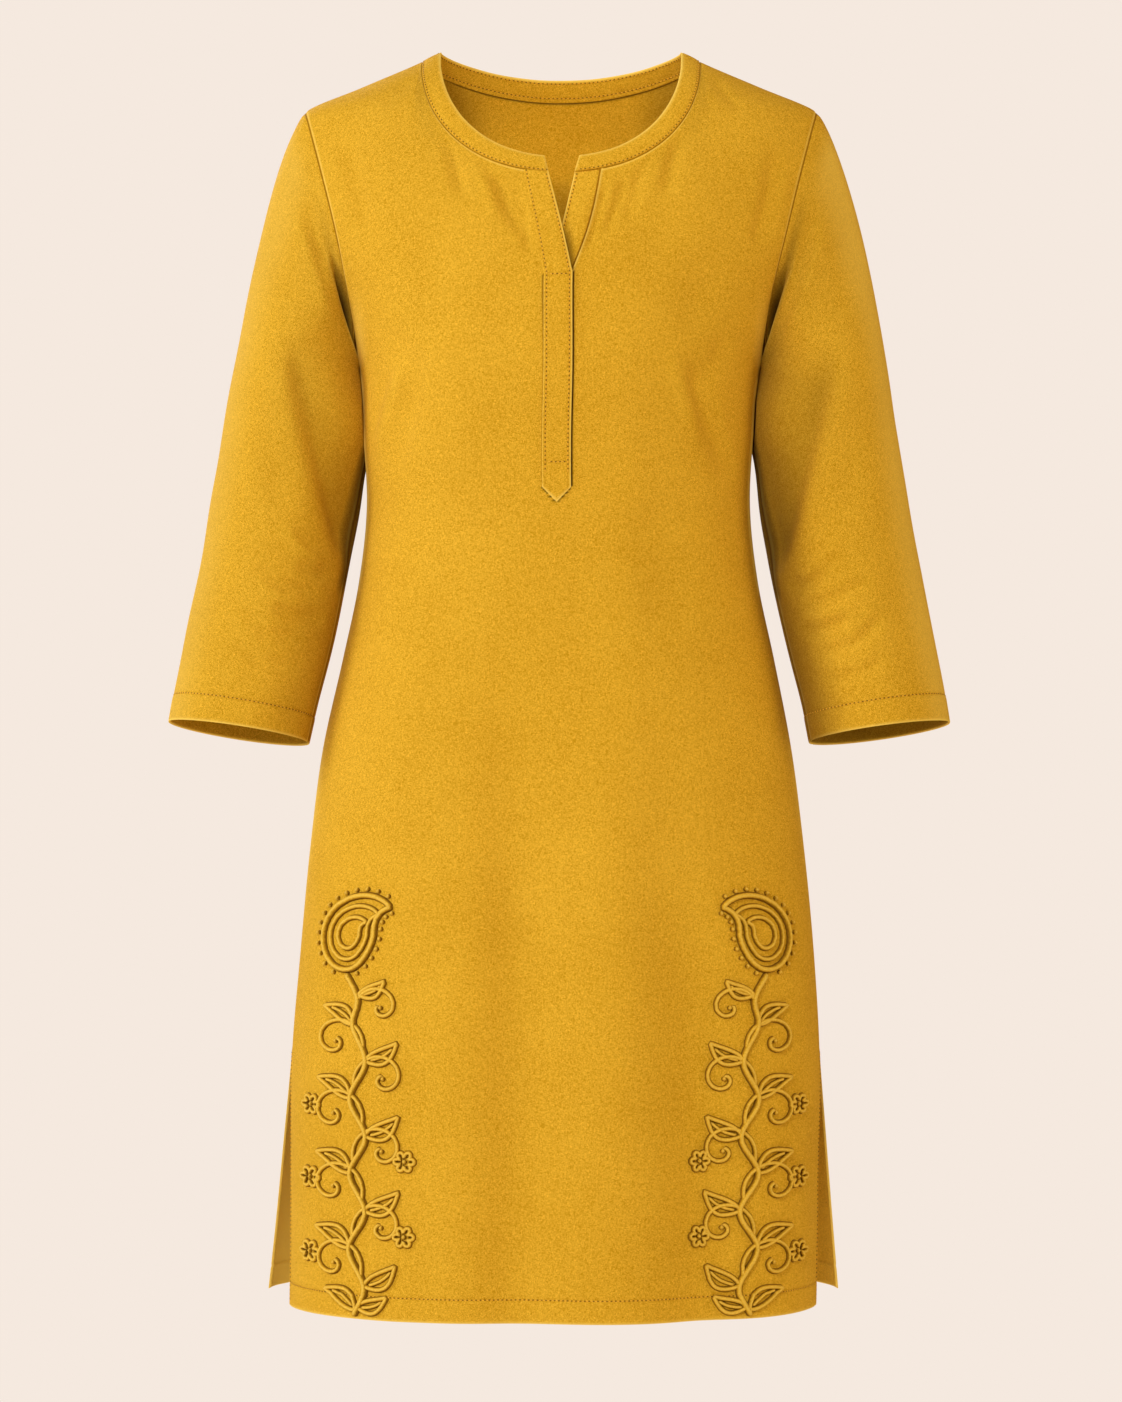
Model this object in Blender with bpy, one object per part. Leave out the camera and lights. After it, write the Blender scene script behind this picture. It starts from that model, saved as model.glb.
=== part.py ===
"""Tunic top: band neck with a half placket, set-in three-quarter sleeves, side slits.

Metres, +Z up, front towards -Y. The origin lies midway between the two points where the neck
seam crosses the shoulder seams, at their height, so the wearer's shoulders hold it there.
The body is a stack of rings, and every piece of cloth is a closed wall through a grid of points
on those rings. Pieces stand a seam gap apart, and each one is an object of its own.
"""

import bpy
import numpy as np

MM = 0.001

# Cloth and sewing, in millimetres.
CLOTH = 1.4  # wall of every piece
SEAM_GAP = 0.4  # clear space between two pieces that are sewn together
LAP_GAP = 0.8  # clear space between a piece and the one that lies on it
SIDE_GAP = 0.6  # across a sleeve's seam and beside the under placket, whose walls meet at a slant
RING_POWER = 2.5  # how square a body ring is across: 2 is an ellipse

# The body rings, one row for each level above the shoulder neck point.
BODY_COLUMNS = ("level", "half_width", "back_half_width", "front_depth", "back_depth", "sway")
BODY_ROWS = (
    (9, 89, 89, 24, 34, 0),
    (0, 107, 107, 32, 43, 0),
    (-20, 153, 153, 50, 57, 0),
    (-39, 197, 197, 63, 68, 0),
    (-60, 206, 206, 74, 77, 0),
    (-97, 206, 206, 89, 88, 0),
    (-138, 194, 194, 102, 95, 0),
    (-182, 173, 173, 111, 98, -1),
    (-210, 163, 163, 115, 98, -1),
    (-238, 154.5, 154.5, 116, 97, -1),
    (-290, 150, 150, 112, 93, -2),
    (-340, 147.5, 147.5, 106, 90, -2),
    (-400, 153.5, 153.5, 104, 93, -2),
    (-460, 166, 166, 107, 100, -2),
    (-530, 180.5, 180.5, 112, 109, -3),
    (-600, 189.5, 189.5, 116, 115, -3),
    (-690, 198, 198, 121, 119, -3),
    (-762, 203, 203, 125, 122, -4),
    (-860, 203, 212, 129, 126, -5),
    (-956, 203, 222, 133, 130, -6),
)

# Levels and outlines of the body, in millimetres.
SHOULDER_X = 197  # shoulder point, where the armhole meets the shoulder seam
SHOULDER_LEVEL = -39
UNDERARM_LEVEL = -238
ARMHOLE_POWER = 1.35  # how the armhole hollows in from the shoulder point down
SLIT_LEVEL = -762  # top of the side slits
SLIT_OPENING = 0.06  # share of each panel's half width angle that the slit takes at the hem
INNER_PULL = 4  # power by which the pull of a panel's inner line fades towards the side
HEM_LEVEL = {"front": -955, "back": -946}

# Neck in front view, the seam and the top edge of the band: a superellipse at the front and a
# parabola at the back.
NECK_POWER = 2.2
NECK_LEVEL = 0
NECK_COLUMNS = ("half_width", "side_level", "front_drop", "back_drop")
NECK_SEAM = (107, NECK_LEVEL, 94, 22)
NECK_TOP = (92.5, 7.5, 89, 15)
RIGHT_END = (10, 14)  # distance of the band's slanted end from the middle, at the seam and on top
LEFT_END = (9.3, 12.4)

# Placket, in front view: x of each edge at the neck seam and from the bottom of the V down,
# and how far the edge bows out between the two.
V_LEVEL = -172
PLACKET_COLUMNS = ("at_neck", "below", "bow")
OVER_LEFT = (-28.5, -12, 0)
OVER_RIGHT = (-9.3, 9.5, 0)
UNDER_LEFT = (10, -8, 0)
UNDER_RIGHT = (30, 8, 2.5)
SLOT_LEFT = (-24, -8.5, 0)
SLOT_LEVEL = -319  # bottom of the slot in the front
POINT_SIDE_LEVEL = -332  # where the end of the over placket starts to narrow
POINT_LEVEL = -343  # its point

# The sleeves, one row for each level of the ring centre, in millimetres.
SLEEVE_COLUMNS = ("level", "centre", "half_width", "half_depth", "forward", "sway")
SLEEVE_ROWS = (
    (-252, 204.3, 49.5, 60, -7, -0.2),
    (-290, 205.8, 54, 59, -8, -0.8),
    (-330, 209.8, 56.3, 58, -7, -0.9),
    (-370, 216.5, 56, 57, -4, -1),
    (-410, 224, 56, 56, 0, -1),
    (-450, 232, 55.5, 54, 4, -1),
    (-490, 240.5, 54.5, 52, 9, -1.2),
    (-518, 245.8, 54, 51, 13, -1.4),
)
# How the cap leaves the armhole, outward, forward and up, and how hard each end pulls.
CAP_FROM_SHOULDER = (0.62, 0.0, -0.78)
CAP_FROM_UNDERARM = (0.06, 0.0, -1.0)
CAP_VALLEY = {"front": 0.75, "back": 0.35}
CAP_PULL = {"armhole": 0.55, "arm": 0.75}
CAP_UNDERARM = 0.35  # share of the seam, from the underarm up, where its wall turns to the body's
ARM_STEP = 10  # half the length of arm that gives its direction

# How finely the grids are cut.
ROWS_ABOVE = 13
ROWS_BELOW = {"slit": 5, "skirt": 11, "slot": 2}
SHOULDER_STEPS = 4
NECK_STEPS = {"front": 8, "back": 6}
CAP_STEPS = 6
ARM_STEPS = 7
CURVE_SAMPLES = 400  # points on a curve that is then cut into even steps
BAND_ROWS = (0.055, 0.5, 1.0)
PLACKET_COLUMNS_ACROSS = 3
LEVEL_TOLERANCE = 1  # levels nearer than this count as one row
SHARP_ANGLE = 60  # degrees between two faces that are shaded as an edge

ROUGHNESS = 0.85

COLOURS = {
    "front": (0.80, 0.43, 0.035, 1.0),
    "back": (0.78, 0.41, 0.033, 1.0),
    "sleeve_left": (0.80, 0.43, 0.035, 1.0),
    "sleeve_right": (0.80, 0.43, 0.035, 1.0),
    "neck_band": (0.82, 0.45, 0.038, 1.0),
    "placket_over": (0.82, 0.45, 0.038, 1.0),
    "placket_under": (0.80, 0.43, 0.035, 1.0),
}


def clear_scene():
    """Removes every object."""
    for item in list(bpy.data.objects):
        bpy.data.objects.remove(item, do_unlink=True)


def smooth_lookup(rows, columns, name, at):
    """The named column of a table at each level, on a cubic through its rows."""
    table = np.array(rows, dtype=float)[::-1]
    level = table[:, 0]
    value = table[:, columns.index(name)]
    slope = np.gradient(value, level)
    at = np.clip(np.asarray(at, dtype=float), level[0], level[-1])
    row = np.clip(np.searchsorted(level, at) - 1, 0, len(level) - 2)
    step = level[row + 1] - level[row]
    t = (at - level[row]) / step
    start = (2 * t**3 - 3 * t**2 + 1) * value[row] + (t**3 - 2 * t**2 + t) * step * slope[row]
    end = (3 * t**2 - 2 * t**3) * value[row + 1] + (t**3 - t**2) * step * slope[row + 1]
    return start + end


def body_value(name, level):
    """A column of the body table at a level."""
    return smooth_lookup(BODY_ROWS, BODY_COLUMNS, name, level)


def half_width(side, level):
    """Half width of the front's or the back's half ring."""
    return body_value("half_width" if side == "front" else "back_half_width", level)


def body_depth(side, x, level):
    """The ring's y: its depth times the root of one minus |x / half width| to RING_POWER."""
    share = np.clip(np.abs(x) / half_width(side, level), 0, 1)
    reach = np.sqrt(1 - share**RING_POWER)
    if side == "front":
        return -body_value("front_depth", level) * reach - SEAM_GAP / 2
    return body_value("back_depth", level) * reach + SEAM_GAP / 2


def on_body(side, x, level):
    """Points of the body at front-view places, with the sway of the hanging cloth."""
    return np.stack([x + body_value("sway", level), body_depth(side, x, level), level], axis=-1)


def even_steps(points, steps):
    """The parameters, 0 to 1, that cut a dense run of points into steps of even length."""
    length = np.linalg.norm(np.diff(points, axis=0), axis=1)
    travelled = np.concatenate([[0], np.cumsum(length)])
    share = np.linspace(0, travelled[-1], steps + 1)
    return np.interp(share, travelled, np.linspace(0, 1, len(points)))


def neck_curve(side, turn, across):
    """Front-view x and level of the neck at a turn, 0 at the shoulder and 1 at the middle.

    across goes from the seam, 0, to the band's top edge, 1.
    """
    seam = dict(zip(NECK_COLUMNS, NECK_SEAM))
    top = dict(zip(NECK_COLUMNS, NECK_TOP))
    size = {name: seam[name] + (top[name] - seam[name]) * across for name in NECK_COLUMNS}
    angle = np.asarray(turn) * np.pi / 2
    x = size["half_width"] * np.cos(angle) ** (2 / NECK_POWER)
    if side == "front":
        drop = size["front_drop"] * np.sin(angle) ** (2 / NECK_POWER)
    else:
        drop = size["back_drop"] * (1 - (x / size["half_width"]) ** 2)
    return x, size["side_level"] - drop


def neck_turn_at(x, across=0.0):
    """The turn at which the neck curve is this far from the middle."""
    seam = dict(zip(NECK_COLUMNS, NECK_SEAM))
    top = dict(zip(NECK_COLUMNS, NECK_TOP))
    width = seam["half_width"] + (top["half_width"] - seam["half_width"]) * across
    return np.arccos((abs(x) / width) ** (NECK_POWER / 2)) / (np.pi / 2)


def placket_line(edge, level, top_level):
    """x of a placket edge: slanting from the neck to the bottom of the V, then upright."""
    line = dict(zip(PLACKET_COLUMNS, edge))
    share = np.clip((level - V_LEVEL) / (top_level - V_LEVEL), 0, 1)
    slant = (line["at_neck"] - line["below"]) * share
    return line["below"] + slant + line["bow"] * np.sin(np.pi * share)


def neck_turns(side, inner_x):
    """Turns of the panel's columns along the neck seam, in steps of even length."""
    turns = np.linspace(0, neck_turn_at(inner_x), CURVE_SAMPLES)
    x, level = neck_curve(side, turns, 0.0)
    return turns[-1] * even_steps(on_body(side, x, level), NECK_STEPS[side])


def shoulder_level(x):
    """Level of the shoulder seam, where the body ring's half width is x."""
    level = np.linspace(NECK_LEVEL, SHOULDER_LEVEL, CURVE_SAMPLES)
    return np.interp(x, half_width("front", level), level)


def top_edge(side, inner_x):
    """x and level of the top of each column: along the shoulder seam, then along the neck."""
    shoulder_x = np.linspace(SHOULDER_X, NECK_SEAM[0], SHOULDER_STEPS + 1)
    neck_x, neck_level = neck_curve(side, neck_turns(side, inner_x), 0.0)
    return (
        np.concatenate([shoulder_x, neck_x[1:]]),
        np.concatenate([shoulder_level(shoulder_x), neck_level[1:]]),
    )


def half_panel(side, inner_top, inner_line):
    """x and level of one half of a panel, from its side edge in to its inner line.

    Above the underarm the columns run from the chest ring to the shoulder and neck. Below it
    they keep their share of the ring. The inner line pulls the nearest columns onto itself.
    """
    top_x, top_level = top_edge(side, inner_top)
    columns = len(top_x)
    toward_inner = np.linspace(0, 1, columns)
    chest = half_width(side, UNDERARM_LEVEL)
    inner_share = np.arcsin(inner_line(UNDERARM_LEVEL) / chest) / (np.pi / 2)
    angle_share = 1 + (inner_share - 1) * toward_inner

    rise = (1 - np.cos(np.linspace(0, np.pi, ROWS_ABOVE + 1)[1:])) / 2
    above_level = UNDERARM_LEVEL + rise[:, None] * (top_level - UNDERARM_LEVEL)
    chest_x = chest * np.sin(np.pi / 2 * angle_share)
    above_x = chest_x + (top_x - chest_x) * rise[:, None] ** ARMHOLE_POWER

    below = body_levels(side)
    opened = np.clip((SLIT_LEVEL - below) / (SLIT_LEVEL - HEM_LEVEL["front"]), 0, 1)
    reach = 1 - SLIT_OPENING * opened
    spread = np.sin(np.pi / 2 * angle_share * reach[:, None])
    below_x = half_width(side, below)[:, None] * spread
    below_level = np.repeat(below[:, None], columns, axis=1)

    x = np.concatenate([below_x, above_x])
    level = np.concatenate([below_level, above_level])
    pull = (inner_line(level[:, -1]) - x[:, -1])[:, None] * toward_inner**INNER_PULL
    return x + pull, level


def body_levels(side):
    """Levels of the rows from the hem up to the underarm."""
    slit = np.linspace(HEM_LEVEL[side], SLIT_LEVEL, ROWS_BELOW["slit"] + 1)
    skirt = np.linspace(SLIT_LEVEL, SLOT_LEVEL, ROWS_BELOW["skirt"] + 1)
    slot = np.linspace(SLOT_LEVEL, UNDERARM_LEVEL, ROWS_BELOW["slot"] + 1)
    return np.concatenate([slit, skirt[1:], slot[1:]])


def grid_normals(points, wrap=False):
    """Unit normals of a grid, along its columns crossed with its rows."""
    if wrap:
        along = (np.roll(points, -1, axis=1) - np.roll(points, 1, axis=1)) / 2
    else:
        along = np.gradient(points, axis=1)
    up = np.gradient(points, axis=0)
    normal = np.cross(along, up)
    return normal / np.linalg.norm(normal, axis=2, keepdims=True)


def seam_flat(normals, rows, columns):
    """Turns normals along a front-to-back seam into the seam's own plane, where y is even."""
    normals[rows, columns, 1] = 0
    length = np.linalg.norm(normals[rows, columns], axis=-1, keepdims=True)
    normals[rows, columns] /= length
    return normals


def wall_faces(rows, columns, keep, wrap):
    """Quads of the outer side of a grid, of its inner side, and of the rim between them.

    The second half of the columns starts its quads a corner later, so that the diagonals of
    the two halves mirror each other.
    """
    index = np.arange(rows * columns).reshape(rows, columns)
    right = np.roll(index, -1, axis=1)
    cells = np.stack([index[:-1], right[:-1], right[1:], index[1:]], axis=-1)
    if not wrap:
        cells = cells[:, :-1]
    second_half = slice(columns // 2, None)
    cells[:, second_half] = np.roll(cells[:, second_half], 1, axis=-1)
    outer = cells[keep].reshape(-1, 4)
    inner = outer[:, ::-1] + rows * columns
    starts = outer.ravel()
    ends = np.roll(outer, -1, axis=1).ravel()
    span = rows * columns
    free = ~np.isin(starts * span + ends, ends * span + starts)
    starts, ends = starts[free], ends[free]
    rim = np.stack([ends, starts, starts + span, ends + span], axis=-1)
    return np.concatenate([outer, inner, rim])


def make_wall(name, outer, inner, keep=None, wrap=False):
    """An object whose closed mesh is the wall between two grids in millimetres."""
    rows, columns = outer.shape[:2]
    if keep is None:
        keep = np.ones((rows - 1, columns if wrap else columns - 1), dtype=bool)
    faces = wall_faces(rows, columns, keep, wrap)
    points = np.concatenate([outer.reshape(-1, 3), inner.reshape(-1, 3)]) * MM
    used, faces = np.unique(faces, return_inverse=True)
    mesh = bpy.data.meshes.new(name)
    mesh.from_pydata(points[used].tolist(), [], faces.reshape(-1, 4).tolist())
    mesh.shade_smooth()
    mesh.set_sharp_from_angle(angle=np.radians(SHARP_ANGLE))
    item = bpy.data.objects.new(name, mesh)
    bpy.context.collection.objects.link(item)
    mesh.materials.append(cloth_material(name))
    return item


def cloth_material(name):
    """Matt woven cotton in the piece's colour."""
    material = bpy.data.materials.new(name)
    material.use_nodes = True
    shader = material.node_tree.nodes["Principled BSDF"]
    shader.inputs["Base Color"].default_value = COLOURS[name]
    shader.inputs["Roughness"].default_value = ROUGHNESS
    shader.inputs["Metallic"].default_value = 0.0
    return material


def slot_right_line(level):
    """x of the slot's right edge, clear of the under placket where both turn at the V."""
    return placket_line(UNDER_RIGHT, level, neck_level_at(UNDER_RIGHT[0])) + SIDE_GAP


def slot_left_line(level):
    """Distance of the slot's left edge from the middle."""
    return -placket_line(SLOT_LEFT, level, neck_level_at(SLOT_LEFT[0]))


def neck_level_at(x):
    """Level of the front neck seam above a front-view x."""
    return neck_curve("front", neck_turn_at(x), 0.0)[1]


def front_points():
    """The front's grid from its left side to its right side, and its cells without the slot."""
    left_x, left_level = half_panel("front", -SLOT_LEFT[0], slot_left_line)
    right_x, right_level = half_panel("front", slot_right_line(NECK_LEVEL), slot_right_line)
    right_x, right_level = right_x[:, ::-1], right_level[:, ::-1]
    middle_x = (right_x[:, :1] - left_x[:, -1:]) / 2
    middle_level = (right_level[:, :1] + left_level[:, -1:]) / 2
    x = np.concatenate([-left_x, middle_x, right_x], axis=1)
    level = np.concatenate([left_level, middle_level, right_level], axis=1)
    keep = np.ones((x.shape[0] - 1, x.shape[1] - 1), dtype=bool)
    slot_left = left_x.shape[1] - 1
    slot_rows = level[:-1, slot_left] > SLOT_LEVEL - LEVEL_TOLERANCE
    keep[slot_rows, slot_left : slot_left + 2] = False
    return on_body("front", x, level), keep


def back_points():
    """The back's grid from its right side to its left side, which turns its normals outward."""
    half_x, half_level = half_panel("back", 0.0, lambda level: 0.0 * np.asarray(level))
    x = np.concatenate([half_x, -half_x[:, -2::-1]], axis=1)
    level = np.concatenate([half_level, half_level[:, -2::-1]], axis=1)
    return on_body("back", x, level)


def panel_normals(points):
    """Grid normals, laid in the seam's plane along both side seams and both shoulder seams."""
    normals = grid_normals(points)
    below = slice(0, sum(ROWS_BELOW.values()) + 1)
    for column in (0, -1):
        normals = seam_flat(normals, below, column)
    last = points.shape[1]
    for columns in (slice(0, SHOULDER_STEPS + 1), slice(last - SHOULDER_STEPS - 1, last)):
        normals = seam_flat(normals, -1, columns)
    return normals


def armhole_ring(front, back, hand):
    """The armhole from the underarm up the front and down the back, as one ring of points.

    hand is -1 for the left armhole and 1 for the right one.
    """
    underarm = sum(ROWS_BELOW.values())
    front_edge = front[underarm:, 0 if hand < 0 else -1]
    back_edge = back[underarm:, -1 if hand < 0 else 0]
    return np.concatenate([front_edge, back_edge[-2:0:-1]])


def ring_heights(ring):
    """Each ring point's share of the way along the seam from the underarm to the shoulder."""
    closed = np.concatenate([ring, ring[:1]])
    length = np.linalg.norm(np.diff(closed, axis=0), axis=1)
    travelled = np.concatenate([[0], np.cumsum(length)])
    up_front = travelled[: ROWS_ABOVE + 1] / travelled[ROWS_ABOVE]
    down_back = (travelled[-1] - travelled[ROWS_ABOVE + 1 : -1]) / (travelled[-1] - travelled[ROWS_ABOVE])
    return np.concatenate([up_front, down_back])


def sleeve_value(name, level):
    """A column of the sleeve table at a level."""
    return smooth_lookup(SLEEVE_ROWS, SLEEVE_COLUMNS, name, level)


def arm_centre(level, hand):
    """Middle of the arm ring at a level."""
    names = ("centre", "forward", "sway")
    out, forward, sway = (float(sleeve_value(name, level)) for name in names)
    return np.array([hand * out + sway, -forward, level])


def arm_ring(level, hand, angle):
    """An ellipse square to the arm at a level.

    angle is 0 on the outer side, a quarter turn in front and half a turn at the body.
    """
    above = min(level + ARM_STEP, SLEEVE_ROWS[0][0])
    below = max(level - ARM_STEP, SLEEVE_ROWS[-1][0])
    up = arm_centre(above, hand) - arm_centre(below, hand)
    up /= np.linalg.norm(up)
    outward = np.cross([0, hand, 0], up)
    outward /= np.linalg.norm(outward)
    forward = hand * np.cross(outward, up)
    wide = sleeve_value("half_width", level)
    deep = sleeve_value("half_depth", level)
    ring = wide * np.cos(angle)[:, None] * outward + deep * np.sin(angle)[:, None] * forward
    return arm_centre(level, hand) + ring


def cap_leaving(height, is_front, hand):
    """Directions in which the sleeve's cloth leaves the armhole, with a hollow at the front."""
    shoulder = np.array(CAP_FROM_SHOULDER) * [hand, 1, 1]
    underarm = np.array(CAP_FROM_UNDERARM) * [hand, 1, 1]
    leave = underarm + (shoulder - underarm) * height[:, None]
    depth = np.where(is_front, CAP_VALLEY["front"], -CAP_VALLEY["back"])
    leave[:, 1] += depth * np.sin(np.pi * height) * (1 - height)
    return leave / np.linalg.norm(leave, axis=1, keepdims=True)


def sleeve_walls(ring, ring_normals, hand):
    """Outer and inner grids of a sleeve, from the armhole down to the cuff.

    The cap is a cubic from each armhole point to the first arm ring. Its inner side turns
    with the body's wall at the shoulder and away from the body at the underarm.
    """
    height = ring_heights(ring)
    is_front = np.arange(len(ring)) <= ROWS_ABOVE
    angle = np.where(is_front, 1, -1) * np.pi * (1 - height)
    start = ring + np.array([hand * SIDE_GAP, 0, 0])
    top_level = SLEEVE_ROWS[0][0]
    end = arm_ring(top_level, hand, angle)
    reach = np.linalg.norm(end - start, axis=1, keepdims=True)
    leave = cap_leaving(height, is_front, hand) * reach * CAP_PULL["armhole"]
    down_arm = arm_ring(top_level - 2 * ARM_STEP, hand, angle) - end
    down_arm /= np.linalg.norm(down_arm, axis=1, keepdims=True)
    arrive = down_arm * reach * CAP_PULL["arm"]
    t = np.linspace(0, 1, CAP_STEPS + 1)[:, None, None]
    cap = (2 * t**3 - 3 * t**2 + 1) * start + (t**3 - 2 * t**2 + t) * leave
    cap += (3 * t**2 - 2 * t**3) * end + (t**3 - t**2) * arrive
    levels = np.linspace(top_level, SLEEVE_ROWS[-1][0], ARM_STEPS + 1)[1:]
    arm = np.stack([arm_ring(level, hand, angle) for level in levels])

    order = slice(None, None, -1) if hand > 0 else slice(None)
    outer = np.concatenate([cap, arm])[:, order]
    inner = outer - CLOTH * grid_normals(outer, wrap=True)
    with_body = np.clip(height / CAP_UNDERARM, 0, 1)[:, None]
    turned = (1 - with_body) * np.array([hand, 0, 0]) - with_body * ring_normals
    turned /= np.linalg.norm(turned, axis=1, keepdims=True)
    inner[0] = outer[0] + CLOTH * turned[order]
    return outer, inner


def band_end(turns, end, across):
    """The turns of one front half of the band, with two more steps to its slanted end."""
    at_seam, at_top = end
    last = neck_turn_at(at_seam + (at_top - at_seam) * across, across)
    return np.concatenate([turns, [(turns[-1] + last) / 2, last]])


def band_walls(front_normals, back_normals):
    """Outer and inner grids of the neck band, from its right end over the back to its left end.

    Its lower edge has the panels' columns and normals, so that the two walls stand parallel.
    """
    right = neck_turns("front", slot_right_line(NECK_LEVEL))
    left = neck_turns("front", -SLOT_LEFT[0])
    back = neck_turns("back", 0.0)[1:]
    rows = []
    for across in BAND_ROWS:
        right_x, right_level = neck_curve("front", band_end(right, RIGHT_END, across)[::-1], across)
        left_x, left_level = neck_curve("front", band_end(left, LEFT_END, across), across)
        back_x, back_level = neck_curve("back", back, across)
        round_back = np.concatenate([back_x, -back_x[-2::-1]])
        round_level = np.concatenate([back_level, back_level[-2::-1]])
        pieces = [
            on_body("front", right_x, right_level),
            on_body("back", round_back, round_level),
            on_body("front", -left_x, left_level),
        ]
        rows.append(np.concatenate(pieces))
    outer = np.stack(rows)
    normals = grid_normals(outer)
    shoulder = SHOULDER_STEPS
    front_steps = NECK_STEPS["front"]
    middle = front_steps + shoulder + 2
    along_right = front_normals[-1, middle : middle + front_steps + 1]
    along_back = back_normals[-1, shoulder + 1 : -shoulder - 1]
    along_left = front_normals[-1, shoulder : shoulder + front_steps + 1]
    normals[0, 2:-2] = np.concatenate([along_right, along_back, along_left])
    return outer, outer - CLOTH * normals


def placket_points(left_edge, right_edge, levels, point_level=None):
    """A strip of the front between two edges, from its lower end up to the neck seam."""
    across = np.linspace(0, 1, PLACKET_COLUMNS_ACROSS)
    top_left, top_right = neck_level_at(left_edge[0]), neck_level_at(right_edge[0])
    left = placket_line(left_edge, levels, top_left)
    right = placket_line(right_edge, levels, top_right)
    x = left[:, None] + (right - left)[:, None] * across
    level = np.repeat(levels[:, None], len(across), axis=1)
    level[-1] = neck_level_at(x[-1])
    if point_level is not None:
        level[0, len(across) // 2] = point_level
    return on_body("front", x, level)


def make_plackets(front_levels):
    """The under placket fills the slot, and the over placket lies on the front and hides it."""
    above = front_levels[front_levels > SLOT_LEVEL + LEVEL_TOLERANCE]
    under_levels = np.concatenate([[SLOT_LEVEL + SEAM_GAP], above])
    under = placket_points(UNDER_LEFT, UNDER_RIGHT, under_levels)
    make_wall("placket_under", under, under - CLOTH * grid_normals(under))
    over_levels = np.concatenate([[POINT_SIDE_LEVEL, SLOT_LEVEL], above])
    base = placket_points(OVER_LEFT, OVER_RIGHT, over_levels, POINT_LEVEL)
    normals = grid_normals(base)
    make_wall("placket_over", base + (LAP_GAP + CLOTH) * normals, base + LAP_GAP * normals)


def build():
    """Makes every piece."""
    clear_scene()
    front, front_keep = front_points()
    back = back_points()
    front_normals = panel_normals(front)
    back_normals = panel_normals(back)
    make_wall("front", front, front - CLOTH * front_normals, front_keep)
    make_wall("back", back, back - CLOTH * back_normals)
    for name, hand in (("sleeve_left", -1), ("sleeve_right", 1)):
        ring = armhole_ring(front, back, hand)
        ring_normals = armhole_ring(front_normals, back_normals, hand)
        outer, inner = sleeve_walls(ring, ring_normals, hand)
        make_wall(name, outer, inner, wrap=True)
    make_wall("neck_band", *band_walls(front_normals, back_normals))
    slot_column = SHOULDER_STEPS + NECK_STEPS["front"]
    make_plackets(front[:, slot_column, 2])


build()
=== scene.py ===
import bpy
import numpy as np
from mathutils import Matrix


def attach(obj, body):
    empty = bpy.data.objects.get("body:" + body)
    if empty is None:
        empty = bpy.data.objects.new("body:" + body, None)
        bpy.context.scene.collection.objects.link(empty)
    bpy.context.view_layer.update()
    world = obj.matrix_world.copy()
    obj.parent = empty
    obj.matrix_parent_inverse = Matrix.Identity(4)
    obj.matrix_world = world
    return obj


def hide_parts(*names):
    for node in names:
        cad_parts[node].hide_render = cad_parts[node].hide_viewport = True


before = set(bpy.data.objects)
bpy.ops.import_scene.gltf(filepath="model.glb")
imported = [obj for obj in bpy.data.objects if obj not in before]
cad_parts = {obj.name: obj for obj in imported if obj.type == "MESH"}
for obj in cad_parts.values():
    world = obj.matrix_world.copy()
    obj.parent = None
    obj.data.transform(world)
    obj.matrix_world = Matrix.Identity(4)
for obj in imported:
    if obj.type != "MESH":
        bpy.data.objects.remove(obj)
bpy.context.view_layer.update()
print("frame loaded:", ", ".join(sorted(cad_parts)))

mm = 0.001  # every size below is in millimetres, and becomes metres when a mesh is made

# Cut of the tunic. A body ring is a stretched circle across the body at one level, with y forward
# negative. Levels are heights above the point where the neck seam crosses the shoulder seam.
bodyColumns = ("level", "halfWidth", "backHalfWidth", "frontDepth", "backDepth", "sway")
bodyRows = (
    (9, 89, 89, 24, 34, 0),
    (0, 107, 107, 32, 43, 0),
    (-20, 153, 153, 50, 57, 0),
    (-39, 197, 197, 63, 68, 0),
    (-60, 206, 206, 74, 77, 0),
    (-97, 206, 206, 89, 88, 0),
    (-138, 194, 194, 102, 95, 0),
    (-182, 173, 173, 111, 98, -1),
    (-210, 163, 163, 115, 98, -1),
    (-238, 154.5, 154.5, 116, 97, -1),
    (-290, 150, 150, 112, 93, -2),
    (-340, 147.5, 147.5, 106, 90, -2),
    (-400, 153.5, 153.5, 104, 93, -2),
    (-460, 166, 166, 107, 100, -2),
    (-530, 180.5, 180.5, 112, 109, -3),
    (-600, 189.5, 189.5, 116, 115, -3),
    (-690, 198, 198, 121, 119, -3),
    (-762, 203, 203, 125, 122, -4),
    (-860, 203, 212, 129, 126, -5),
    (-956, 203, 222, 133, 130, -6),
)
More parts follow.
